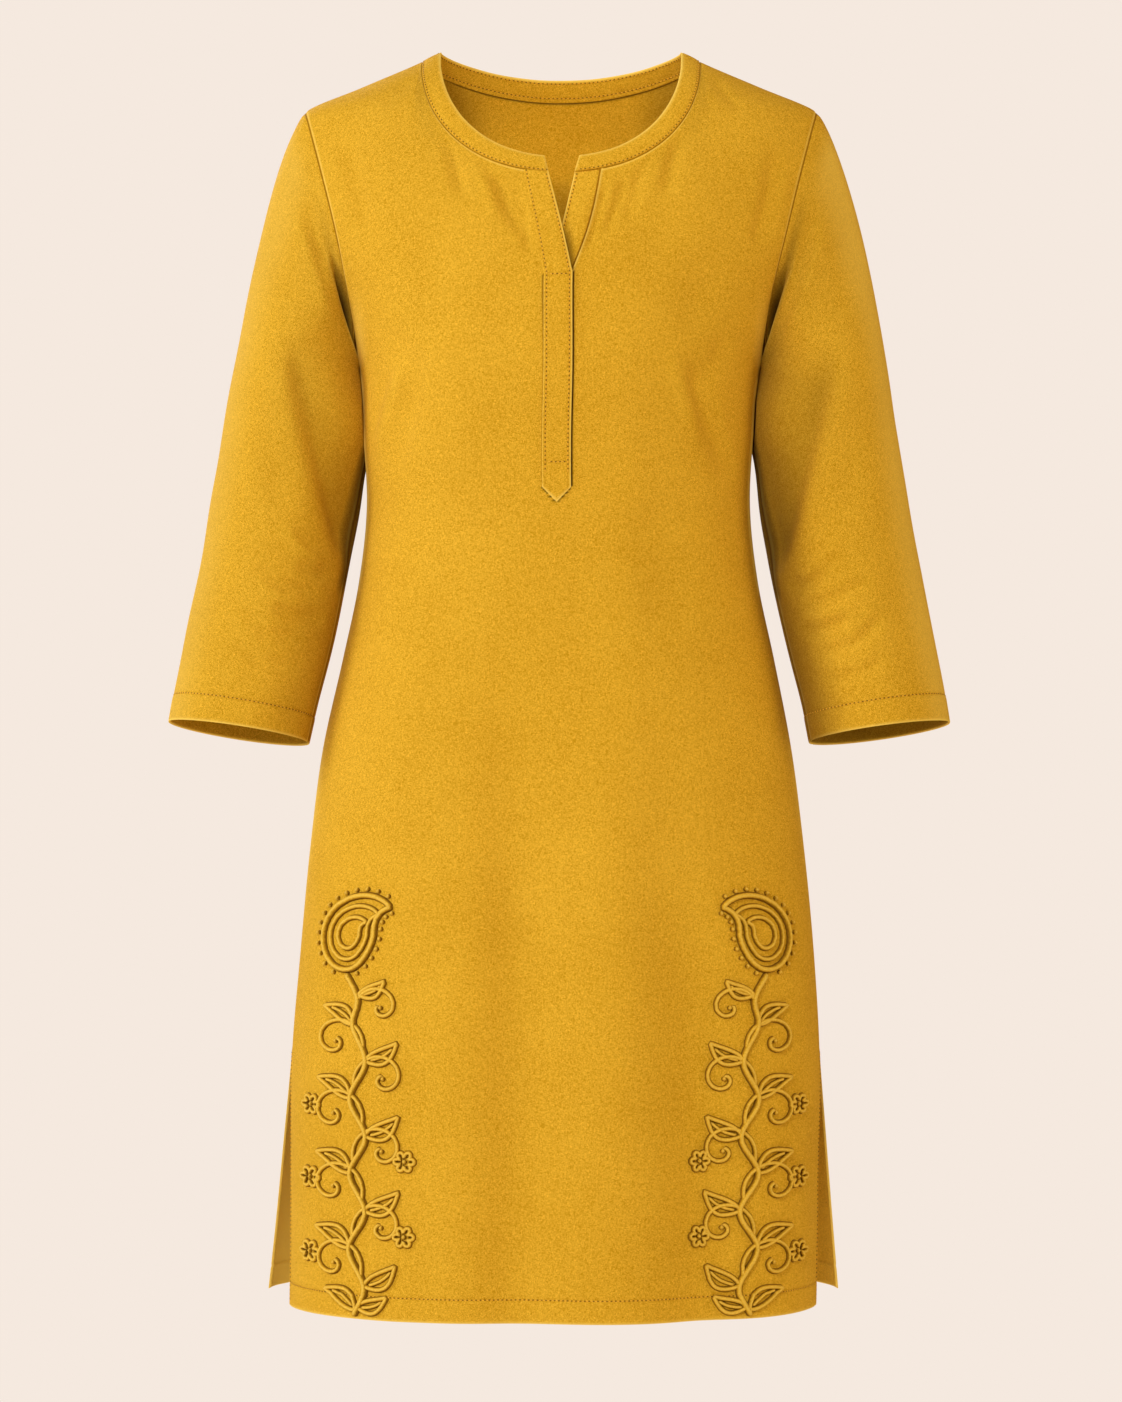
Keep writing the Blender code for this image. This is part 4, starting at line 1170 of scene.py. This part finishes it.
# The lines that are stitched on a panel: along its hem and up beside both slits
def panelLines(outer, normals):
    lines = [(outer[hemRow, slitColumn:-slitColumn], normals[hemRow, slitColumn:-slitColumn])]
    for column in (slitColumn, -1 - slitColumn):
        lines.append((outer[1:slitRows, column], normals[1:slitRows, column]))
    return lines


# The line at one share of the band's height, with normals to its outer side, 1, or its inner, -1
def bandStitches(share, toward):
    row = [point[0] for point in band["profile"]].index(share)
    return bandPoints[row], toward * bandNormals[row]


frontNormals, backNormals = gridNormals(frontOuter), gridNormals(backOuter)
hemRow = panel["hemSteps"].index(body["hemDepth"])
slitColumn = panel["edgeSteps"].index(body["slitTurn"])
slitRows = int(np.sum(panelLevels("front") < body["slitLevel"] + 1))
bandRows = [bandStitches(band["stitched"]["outside"], 1)]
bandRows += [bandStitches(share, -1) for share in band["stitched"]["inside"]]
firstLine, lastLine = (strip["acrossShares"].index(share) for share in strip["stitched"])
overRows = [(overOuter[6:, column], overNormal[6:, column]) for column in (firstLine, lastLine)]
for bar in placket["barLevels"]:
    row = int(np.argmin(np.abs(overLevel[:, len(strip["acrossShares"]) // 2] - bar)))
    between = slice(firstLine, lastLine + 1)
    overRows.append((overOuter[row, between], overNormal[row, between]))
underRows = [(underOuter[4:, firstLine], underNormal[4:, firstLine])]
stitches = {
    "front": makeStitches("stitchesFront", panelLines(frontOuter, frontNormals)),
    "back": makeStitches("stitchesBack", panelLines(backOuter, backNormals)),
    "band": makeStitches("stitchesBand", bandRows),
    "over": makeStitches("stitchesPlacketOver", overRows),
    "under": makeStitches("stitchesPlacketUnder", underRows),
}
for hand, name in ((-1, "stitchesSleeveLeft"), (1, "stitchesSleeveRight")):
    outer = sleeves[hand]["outer"]
    row = len(outer) - 1 - hemRow
    normal = gridNormals(outer, wrap=True)[row]
    closed = [np.concatenate([values, values[:1]]) for values in (outer[row], normal)]
    stitches[hand] = makeStitches(name, [closed])
print("topstitching:", sum(len(piece.data.polygons) for piece in stitches.values()), "faces")


cordWork = {
    "step": 1.2,  # distance between the rings of a cord
    # section of a cord in radii, from its outer side round under it: across, height off the cloth,
    # and its marks, edge, above 0 for a painted highlight on top and below 0 for painted shade down
    # its sides, and shade, painted shade at its feet
    "section": (
        (1.0, 0.7, -0.9, 0.27), (1.3, 0.08, -1.0, 0.78), (0.0, -0.2, 0.0, 0.0),
        (-1.3, 0.08, -1.0, 0.78), (-1.0, 0.7, -0.9, 0.27), (-0.68, 1.4, 0.1, 0.0),
        (0.0, 1.7, 0.8, 0.0), (0.68, 1.4, 0.1, 0.0),
    ),
    "radius": {
        "stem": 2.2, "leaf": 1.65, "rib": 1.3, "coil": 1.6, "flower": 1.5, "drop": 2.1, "bead": 1.9,
    },
    "stem": [
        (149, -953), (141, -931), (153, -903), (141, -875), (153, -847), (141, -819), (153, -791),
        (142, -763), (152, -736), (149, -716), (158, -697),
    ],
    # leaves: foot, tip, width
    "leaves": [
        ((146, -946), (124, -938), 10), ((148, -948), (172, -934), 11),
        ((141, -930), (118, -914), 12), ((153, -902), (179, -888), 12),
        ((141, -874), (116, -859), 12), ((153, -846), (179, -832), 12),
        ((141, -818), (117, -803), 12), ((153, -790), (178, -776), 11),
        ((142, -762), (119, -748), 11), ((152, -735), (174, -722), 10),
        ((148, -713), (129, -702), 9),
    ],
    # coils: the point where it leaves the stem, the middle, turns, and 1 or -1 for its turning
    "coils": [
        ((143, -924), (165, -914), 1.3, -1), ((151, -896), (129, -886), 1.3, 1),
        ((143, -868), (166, -857), 1.3, -1), ((151, -840), (129, -829), 1.3, 1),
        ((143, -812), (166, -802), 1.3, -1), ((151, -784), (129, -775), 1.3, 1),
        ((144, -757), (165, -748), 1.3, -1), ((151, -730), (132, -722), 1.2, 1),
    ],
    # flowers: middle, radius, petals
    "flowers": [
        ((184, -908), 7.5, 6), ((112, -892), 7.5, 6), ((184, -852), 7.5, 6),
        ((112, -836), 7.5, 6), ((184, -797), 7.0, 6),
    ],
    # the drop's widest place, its size, its lines as radius and share of the outline's size, and
    # the beads round it
    "drop": {
        "middle": (159, -664), "size": 31.0, "beads": 23, "beadsOut": 4.6,
        "lines": (("drop", 1.0), ("coil", 0.72), ("coil", 0.42)),
    },
}


# Points and unit normals of the front's own surface at front-view places below the underarm,
# between the four grid points round each one
def onFront(x, level):
    rows = frontBase[:, 0, 2]
    row = np.clip(np.searchsorted(rows[: underarmRow + 1], level) - 1, 0, underarmRow - 1)
    up = ((level - rows[row]) / (rows[row + 1] - rows[row]))[:, None]
    column = np.clip((frontX[row] < x[:, None]).sum(axis=1) - 1, 0, frontX.shape[1] - 2)
    low, high = frontX[row, column], frontX[row, column + 1]
    along = np.clip((x - low) / (high - low), 0, 1)[:, None]
    grids = []
    for grid in (frontOuter, frontNormals):
        lower = grid[row, column] * (1 - along) + grid[row, column + 1] * along
        upper = grid[row + 1, column] * (1 - along) + grid[row + 1, column + 1] * along
        grids.append(lower * (1 - up) + upper * up)
    return grids[0], grids[1] / np.linalg.norm(grids[1], axis=1, keepdims=True)


# Smooth line through points: on each stretch a cubic whose slope is half the step between the
# points before and after, then even steps
def smoothLine(points):
    points = np.array(points, dtype=float)
    slope = np.gradient(points, axis=0)
    t = np.linspace(0, 1, 40, endpoint=False)[None, :, None]
    curve = cubic(t, points[:-1, None], points[1:, None], slope[:-1, None], slope[1:, None])
    return np.concatenate([curve.reshape(-1, 2), points[-1:]])


# Leaf outline from foot to tip and back, and the rib in its middle. At a share u of the way its
# half width is sin(pi u^0.8) of the widest, and its middle bends aside by 0.12 sin(pi u) lengths
def leafLine(foot, tip, width):
    foot, tip = np.array(foot, dtype=float), np.array(tip, dtype=float)
    u = np.linspace(0, 1, 40)[:, None]
    side = np.array([-(tip - foot)[1], (tip - foot)[0]]) / np.linalg.norm(tip - foot)
    swell = width / 2 * np.sin(np.pi * u**0.8)
    bend = 0.12 * np.linalg.norm(tip - foot) * np.sin(np.pi * u) * side
    middle = foot + u * (tip - foot) + bend
    outline = np.concatenate([middle + swell * side, (middle - swell * side)[-2::-1]])
    return outline, middle[4:-7]


# Coil: a line from the stem that winds round its middle by turns * u^0.9 at a share u of the way.
# Its radius is 0.85 (1 - u)^1.6 of the foot's distance, plus 2.2
def coilLine(foot, middle, turns, turning):
    foot, middle = np.array(foot, dtype=float), np.array(middle, dtype=float)
    arm = foot - middle
    u = np.linspace(0, 1, 90)
    radius = np.linalg.norm(arm) * (1 - u) ** 1.6 * 0.85 + 2.2
    radius[0] = np.linalg.norm(arm)
    angle = np.arctan2(arm[1], arm[0]) + turning * 2 * np.pi * turns * u**0.9
    return middle + np.stack([radius * np.cos(angle), radius * np.sin(angle)], axis=1)


# Flower of n petals: at an angle t its reach is 0.38 + 0.62 |cos(n t / 2)|^0.6 of its radius
def flowerLine(middle, radius, petals):
    t = np.linspace(0, 2 * np.pi, 30 * petals + 1)
    reach = radius * (0.38 + 0.62 * np.abs(np.cos(petals * t / 2)) ** 0.6)
    return np.array(middle) + np.stack([reach * np.cos(t), reach * np.sin(t)], axis=1)


# Curled drop: a spine that starts upward and turns by 1.9 u^2 to one side at a share u of its
# length, with a half width that swells like a circle to u = 0.4 and then falls like a cosine to its
# tip. Smaller ones are drawn in toward the widest place
def dropLine(middle, size, share):
    u = np.linspace(0, 1, 120)
    heading = np.pi / 2 + 1.9 * u**2
    step = np.stack([np.cos(heading), np.sin(heading)], axis=1) * 2.25 * size / len(u)
    spine = np.cumsum(step, axis=0) - [0, size]
    swelling = np.sqrt(np.clip(1 - (1 - u / 0.4) ** 2, 0, 1))
    swell = 0.6 * size * np.where(u < 0.4, swelling, np.cos(np.pi / 2 * (u - 0.4) / 0.6))
    side = np.stack([-np.sin(heading), np.cos(heading)], axis=1) * swell[:, None]
    outline = np.concatenate([spine + side, (spine - side)[-2::-1]])
    widest = spine[len(u) * 2 // 5]
    return np.array(middle) + widest + share * (outline - widest)


# Rings, cloth coordinates and marks of a cord along a line, laid on the front. The ends of an open
# cord are drawn in by the root of 1 minus the square of the way to its end
def cordRings(line, radius, hand, isOpen):
    along = lengthAlong(line)
    at = np.linspace(0, along[-1], max(int(along[-1] / cordWork["step"]), 7))
    x, level = (np.interp(at, along, line[:, i]) for i in range(2))
    place, normal = onFront(x * hand, level)
    way = np.gradient(place, axis=0)
    way /= np.maximum(np.linalg.norm(way, axis=1, keepdims=True), 1e-9)
    side = np.cross(way, normal)
    full = radius + 0 * at
    if isOpen:
        toEnd = 1 - np.clip(np.minimum(at, along[-1] - at) / (1.4 * radius), 0, 1)
        full = full * np.sqrt(np.clip(1 - toEnd**2, 0.04, 1))
    across, height, edge, shade = np.array(cordWork["section"]).T
    ring = across[:, None] * side[:, None] + height[:, None] * normal[:, None]
    around = 0.8 * radius * np.arange(len(across))
    uv = np.stack(np.broadcast_arrays(at[:, None], around), axis=-1) * mm
    marks = {"edge": edge + 0 * at[:, None], "shade": shade + 0 * at[:, None]}
    return place[:, None] + full[:, None, None] * ring, uv, marks


# A bead is a cord as long as it is wide
def beadCord(middle):
    radius = cordWork["radius"]["bead"]
    return np.array(middle) + np.array([[0.0, -0.9], [0.0, 0.9]]) * radius, "bead", True


# Unit vectors that point out of a closed outline
def outwardOf(outline):
    way = np.gradient(outline, axis=0)
    length = np.maximum(np.linalg.norm(way, axis=1, keepdims=True), 1e-9)
    out = np.stack([way[:, 1], -way[:, 0]], axis=1) / length
    turned = np.sum(out * (outline - outline.mean(axis=0)))
    return out * np.sign(turned)


# The cord work beside one slit as one piece: a stem, leaves with ribs, coils and flowers with
# beads, and a curled drop with beads round it. Each part is a line, its kind, and whether it's open
def makeCords(name, hand):
    parts = [(smoothLine(cordWork["stem"]), "stem", True)]
    for foot, tip, width in cordWork["leaves"]:
        outline, rib = leafLine(foot, tip, width)
        parts += [(outline, "leaf", False), (rib, "rib", True)]
    for foot, middle, turns, turning in cordWork["coils"]:
        parts += [(coilLine(foot, middle, turns, turning), "coil", True), beadCord(middle)]
    for middle, size, petals in cordWork["flowers"]:
        parts += [(flowerLine(middle, size, petals), "flower", False), beadCord(middle)]
    drop = cordWork["drop"]
    for kind, share in drop["lines"]:
        parts.append((dropLine(drop["middle"], drop["size"], share), kind, False))
    outline = dropLine(drop["middle"], drop["size"], 1.0)
    rim = lengthAlong(outline)
    spots = np.linspace(0, rim[-1], drop["beads"] + 2)[1:-1]
    out = outline + drop["beadsOut"] * outwardOf(outline)
    for spot in spots:
        parts.append(beadCord([np.interp(spot, rim, out[:, i]) for i in range(2)]))
    radius = cordWork["radius"]
    tubes = [cordRings(line, radius[kind], hand, isOpen) for line, kind, isOpen in parts]
    return makeTubes(name, tubes, 80)


cords = {hand: makeCords(name, hand) for hand, name in ((-1, "cordWorkLeft"), (1, "cordWorkRight"))}
print("cord work:", sum(len(piece.data.polygons) for piece in cords.values()), "faces")


# A hex colour as a shader takes it: a share s is s / 12.92 up to 0.04045, and above that
# ((s + 0.055) / 1.055)^2.4
def linearColour(text):
    parts = np.array([int(text[i : i + 2], 16) / 255 for i in (1, 3, 5)])
    low, high = parts / 12.92, ((parts + 0.055) / 1.055) ** 2.4
    return (*np.where(parts <= 0.04045, low, high).tolist(), 1.0)


# Adds a node to a material or the world, with its settings. Each of its inputs, by name or number,
# is a plain value or another node's output, and a node by itself stands for its first output
def addNode(owner, kind, inputs=None, **settings):
    node = owner.node_tree.nodes.new(kind)
    for name, value in settings.items():
        setattr(node, name, value)
    for name, value in (inputs or {}).items():
        source = value.outputs[0] if isinstance(value, bpy.types.Node) else value
        if isinstance(source, bpy.types.NodeSocket):
            owner.node_tree.links.new(source, node.inputs[name])
        else:
            node.inputs[name].default_value = source
    return node


# A material without nodes
def newMaterial(name):
    material = bpy.data.materials.new(name)
    material.use_nodes = True
    material.node_tree.nodes.clear()
    return material


# Kinds of node that the materials use more than once. A colour mix keeps its share in its input 0,
# its colours in 6 and 7 and its result in its output 2
mathNode, noiseNode, mixNode = "ShaderNodeMath", "ShaderNodeTexNoise", "ShaderNodeMix"
markNode, clampNode, bumpNode = "ShaderNodeAttribute", "ShaderNodeClamp", "ShaderNodeBump"
surfaceNode, outputNode = "ShaderNodeBsdfPrincipled", "ShaderNodeOutputMaterial"

clothLook = {
    "thick": "#FBCB42",  # thick threads, which stand out paler
    "thin": "#C28E00",
    "pale": "#FFDC68",  # painted highlight on fold edges, beside seams, on cord tops and on sides in shadow
    "deep": "#9C6800",  # painted shade in seams, stitched lines and down the sides of the cords
    "shaded": "#3E2600",  # painted shade and shadow under laps, along the underarm, inside the neck and the cuffs
    # sizes in millimetres. Threads are drawn about twice as coarse as the real ones, to show
    "threadPitch": 0.85,
    "slubWidth": 1.87,  # thick stretches of thread
    "slubLength": 5,
    "mottle": 0.9,  # the thick and thin specks
    "cloud": 1000 / 14,  # the faint large patches
    "weaveHeight": 0.1,
    "slubHeight": 0.3,
    "contrast": {"mottle": 13.0, "slub": 2.0, "cloud": 0.9, "weave": 0.2},
    "markStrength": 0.8,
    "surface": {
        "Roughness": 0.8, "Sheen Weight": 0.02, "Sheen Roughness": 0.5, "Specular IOR Level": 0.1,
    },
}


# Plain-woven cotton and linen: crossing threads with thick and thin stretches, matt with a little
# nap. Gives the eye a dry, finely mottled mustard surface. The weave is the product of two sines of
# the cloth coordinates, and the colour is a share from thin to thick of the summed grain
def clothMaterial(name, look):
    material = newMaterial(name)
    place = addNode(material, "ShaderNodeUVMap", uv_map="cloth")
    apart = addNode(material, "ShaderNodeSeparateXYZ", {0: place})
    turns = 2 * np.pi / (look["threadPitch"] * mm)
    threads, slubs = [], []
    for way in (0, 1):
        angle = addNode(material, mathNode, {0: apart.outputs[way], 1: turns}, operation="MULTIPLY")
        threads.append(addNode(material, mathNode, {0: angle}, operation="SINE"))
        scale = [1 / (look["slubLength"] * mm), 1 / (look["slubLength"] * mm), 1.0]
        scale[way] = 1 / (look["slubWidth"] * mm)
        stretched = addNode(material, "ShaderNodeMapping", {"Vector": place, "Scale": scale})
        inputs = {"Vector": stretched, "Scale": 1.0, "Detail": 2.0, "Roughness": 0.6}
        slubs.append(addNode(material, noiseNode, inputs))
    weave = addNode(material, mathNode, dict(enumerate(threads)), operation="MULTIPLY")
    slub = addNode(material, mathNode, dict(enumerate(slubs)), operation="ADD")
    slub = addNode(material, mathNode, {0: slub, 1: 0.5}, operation="MULTIPLY")
    solid = addNode(material, "ShaderNodeTexCoord").outputs["Object"]
    inputs = {"Scale": 1 / (look["mottle"] * mm), "Detail": 3.0, "Roughness": 0.7}
    mottle = addNode(material, noiseNode, {"Vector": solid, "Distortion": 2.0, **inputs})
    inputs = {"Scale": 1 / (look["cloud"] * mm), "Detail": 2.0, "Roughness": 0.5}
    cloud = addNode(material, noiseNode, {"Vector": solid, **inputs})
    contrast = look["contrast"]
    grain = addNode(material, mathNode, {0: weave, 1: contrast["weave"]}, operation="MULTIPLY")
    for part, noise in (("cloud", cloud), ("slub", slub), ("mottle", mottle)):
        inputs = {0: noise, 1: contrast[part], 2: -contrast[part] / 2}
        around = addNode(material, mathNode, inputs, operation="MULTIPLY_ADD")
        grain = addNode(material, mathNode, {0: grain, 1: around}, operation="ADD")
    share = addNode(material, mathNode, {0: grain, 1: 0.5, 2: 0.5}, operation="MULTIPLY_ADD")
    share = addNode(material, clampNode, {0: share})
    inputs = {0: share, 6: linearColour(look["thin"]), 7: linearColour(look["thick"])}
    colour = addNode(material, mixNode, inputs, data_type="RGBA").outputs[2]
    # the edge mark mixes toward pale for a painted highlight and toward deep for painted shade, and
    # the shade mark toward shaded for painted shade and shadow
    edge = addNode(material, markNode, attribute_name="edge").outputs["Fac"]
    shade = addNode(material, markNode, attribute_name="shade").outputs["Fac"]
    marked = []
    for strength in (look["markStrength"], -look["markStrength"]):
        scaled = addNode(material, mathNode, {0: edge, 1: strength}, operation="MULTIPLY")
        marked.append(addNode(material, clampNode, {0: scaled}))
    for amount, tone in ((marked[0], "pale"), (marked[1], "deep"), (shade, "shaded")):
        inputs = {0: amount, 6: colour, 7: linearColour(look[tone])}
        colour = addNode(material, mixNode, inputs, data_type="RGBA").outputs[2]
    inputs = {"Strength": 1.0, "Distance": look["weaveHeight"] * mm, "Height": weave}
    fine = addNode(material, bumpNode, inputs)
    height = addNode(material, mathNode, {0: slub, 1: mottle}, operation="ADD")
    inputs = {"Distance": look["slubHeight"] * mm, "Height": height, "Normal": fine}
    bump = addNode(material, bumpNode, {"Strength": 1.0, **inputs})
    inputs = {"Base Color": colour, "Normal": bump, **look["surface"]}
    addNode(material, outputNode, {"Surface": addNode(material, surfaceNode, inputs)})
    return material


threadLook = {
    "colour": "#F8C746",
    "shadow": "#DDA52A",  # between the plies
    # painted shade in the needle holes
    "hole": "#5E3A00",
    "ply": 0.7,  # in millimetres, as is its height
    "plyHeight": 0.1,
    "surface": {"Roughness": 0.6, "Specular IOR Level": 0.2},
}


# Twisted polyester thread: a touch brighter and smoother than the cloth, with painted shade in its
# needle holes, so that each stitch reads by itself
def threadMaterial(name, look):
    material = newMaterial(name)
    solid = addNode(material, "ShaderNodeTexCoord").outputs["Object"]
    inputs = {"Vector": solid, "Scale": 1 / (look["ply"] * mm), "Detail": 1.0}
    noise = addNode(material, noiseNode, inputs)
    bump = addNode(material, bumpNode, {"Distance": look["plyHeight"] * mm, "Height": noise})
    inputs = {0: noise, 6: linearColour(look["shadow"]), 7: linearColour(look["colour"])}
    colour = addNode(material, mixNode, inputs, data_type="RGBA").outputs[2]
    shade = addNode(material, markNode, attribute_name="shade").outputs["Fac"]
    inputs = {0: shade, 6: colour, 7: linearColour(look["hole"])}
    colour = addNode(material, mixNode, inputs, data_type="RGBA").outputs[2]
    inputs = {"Base Color": colour, "Normal": bump, **look["surface"]}
    addNode(material, outputNode, {"Surface": addNode(material, surfaceNode, inputs)})
    return material


cloth = clothMaterial("mustardCottonLinen", clothLook)
sewing = threadMaterial("mustardSewingThread", threadLook)

garment = {
    "front": (front, "front", "cloth", (0.52, 0.98), 0.412),
    "back": (back, "back", "cloth", (0.56, 0.97), 0.423),
    -1: (sleeves[-1]["piece"], "sleeve_left", "cloth", (0.36, 0.48), 0.129),
    1: (sleeves[1]["piece"], "sleeve_right", "cloth", (0.36, 0.48), 0.129),
    "band": (neckBand, "neck_band", "trim", (0.63, 0.0155), 0.009),
    "over": (placketOver, "placket_over", "trim", (0.024, 0.26), 0.0053),
    "under": (placketUnder, "placket_under", "trim", (0.021, 0.25), 0.0040),
}
for piece in cords.values():
    piece.data.materials.append(cloth)
    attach(piece, "root")
for key, (piece, node, slot, flat, area) in garment.items():
    piece.data.materials.append(cloth)
    stitches[key].data.materials.append(sewing)
    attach(piece, "root")
    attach(stitches[key], "root")
    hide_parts(node)
print("pieces on the frame:", 2 * len(garment))

studio = {
    "floorLevel": -1.6,
    "floorRadius": 3.5,
    "floorSides": 96,
    "floorColour": "#F1E8DF",
    "backdrop": "#F5E9DF",
    "ambient": "#FFE09E",
    "ambientStrength": 0.38,
    # place, aim, size, power and colour
    "lamps": {
        "leftLamp": ((-3.5, -1.4, 0.9), (0.0, 0.0, -0.45), 1.4, 68.0, "#FFFFFF"),
        "frontLamp": ((-0.9, -3.6, 1.7), (0.0, 0.0, -0.4), 1.2, 83.0, "#FFFAF2"),
        "rightLamp": ((3.5, -0.9, 0.3), (0.0, 0.0, -0.45), 1.4, 28.0, "#FFE0A8"),
        "backLamp": ((-1.7, 3.3, 1.6), (0.0, 0.0, -0.45), 1.4, 60.0, "#FFFAF2"),
        # a small lamp inside the body, which lights the inner side of the back through the neck
        "insideLamp": ((0.0, -0.03, -0.115), (0.0, 0.025, 0.0), 0.1, 0.085, "#FFE0A0"),
    },
    "camera": {"lens": 120, "sensor": 36, "place": (0, -3.6, -0.49203)},
}


# A round painted floor, as triangles from its middle. Gives the eye a pale, matt ground
def makeFloor():
    sides = studio["floorSides"]
    index = np.arange(sides)
    angle, radius = index * 2 * np.pi / sides, studio["floorRadius"] / mm
    points = np.zeros((sides + 1, 3))
    points[:-1, 0], points[:-1, 1] = radius * np.cos(angle), radius * np.sin(angle)
    points[:, 2] = studio["floorLevel"] / mm
    faces = np.stack([np.full(sides, sides), index, np.roll(index, -1)], axis=1)
    piece = makeMesh("floor", points, faces)
    material = newMaterial("palePaintedFloor")
    inputs = {"Base Color": linearColour(studio["floorColour"]), "Roughness": 0.9}
    addNode(material, outputNode, {"Surface": addNode(material, surfaceNode, inputs)})
    piece.data.materials.append(material)
    return piece


# Turns a lamp so that it faces a point: tilt from straight down, then turn about the vertical
def aimAt(thing, target):
    way = np.array(target) - np.array(thing.location)
    tilt = np.arccos(-way[2] / np.linalg.norm(way))
    thing.rotation_euler = (tilt, 0, np.arctan2(-way[0], way[1]))


# A round soft lamp that the camera doesn't see
def makeLamp(name, place, aim, size, power, colour):
    light = bpy.data.lights.new(name, "AREA")
    light.shape = "DISK"
    light.size = size
    light.energy = power
    light.color = linearColour(colour)[:3]
    thing = bpy.data.objects.new(name, light)
    thing.location = place
    thing.visible_camera = False
    aimAt(thing, aim)
    bpy.context.collection.objects.link(thing)


# A warm light from all around, and the backdrop's own colour where the camera looks past the piece
def makeWorld():
    world = bpy.data.worlds.new("studio")
    world.use_nodes = True
    world.node_tree.nodes.clear()
    isSeen = addNode(world, "ShaderNodeLightPath").outputs["Is Camera Ray"]
    light = {"Color": linearColour(studio["ambient"]), "Strength": studio["ambientStrength"]}
    paint = {"Color": linearColour(studio["backdrop"])}
    soft, seen = (addNode(world, "ShaderNodeBackground", inputs) for inputs in (light, paint))
    mix = addNode(world, "ShaderNodeMixShader", {0: isSeen, 1: soft, 2: seen})
    addNode(world, "ShaderNodeOutputWorld", {0: mix})
    bpy.context.scene.world = world


# The camera in front of the garment, level and square to it
def makeCamera():
    camera = bpy.data.objects.new("camera", bpy.data.cameras.new("camera"))
    camera.data.lens = studio["camera"]["lens"]
    camera.data.sensor_width = studio["camera"]["sensor"]
    camera.location = studio["camera"]["place"]
    camera.rotation_euler = (np.pi / 2, 0, 0)
    bpy.context.collection.objects.link(camera)
    bpy.context.scene.camera = camera


makeFloor()
makeWorld()
for name, lamp in studio["lamps"].items():
    makeLamp(name, *lamp)
makeCamera()
bpy.context.scene.view_settings.view_transform = "Standard"
print("studio ready")
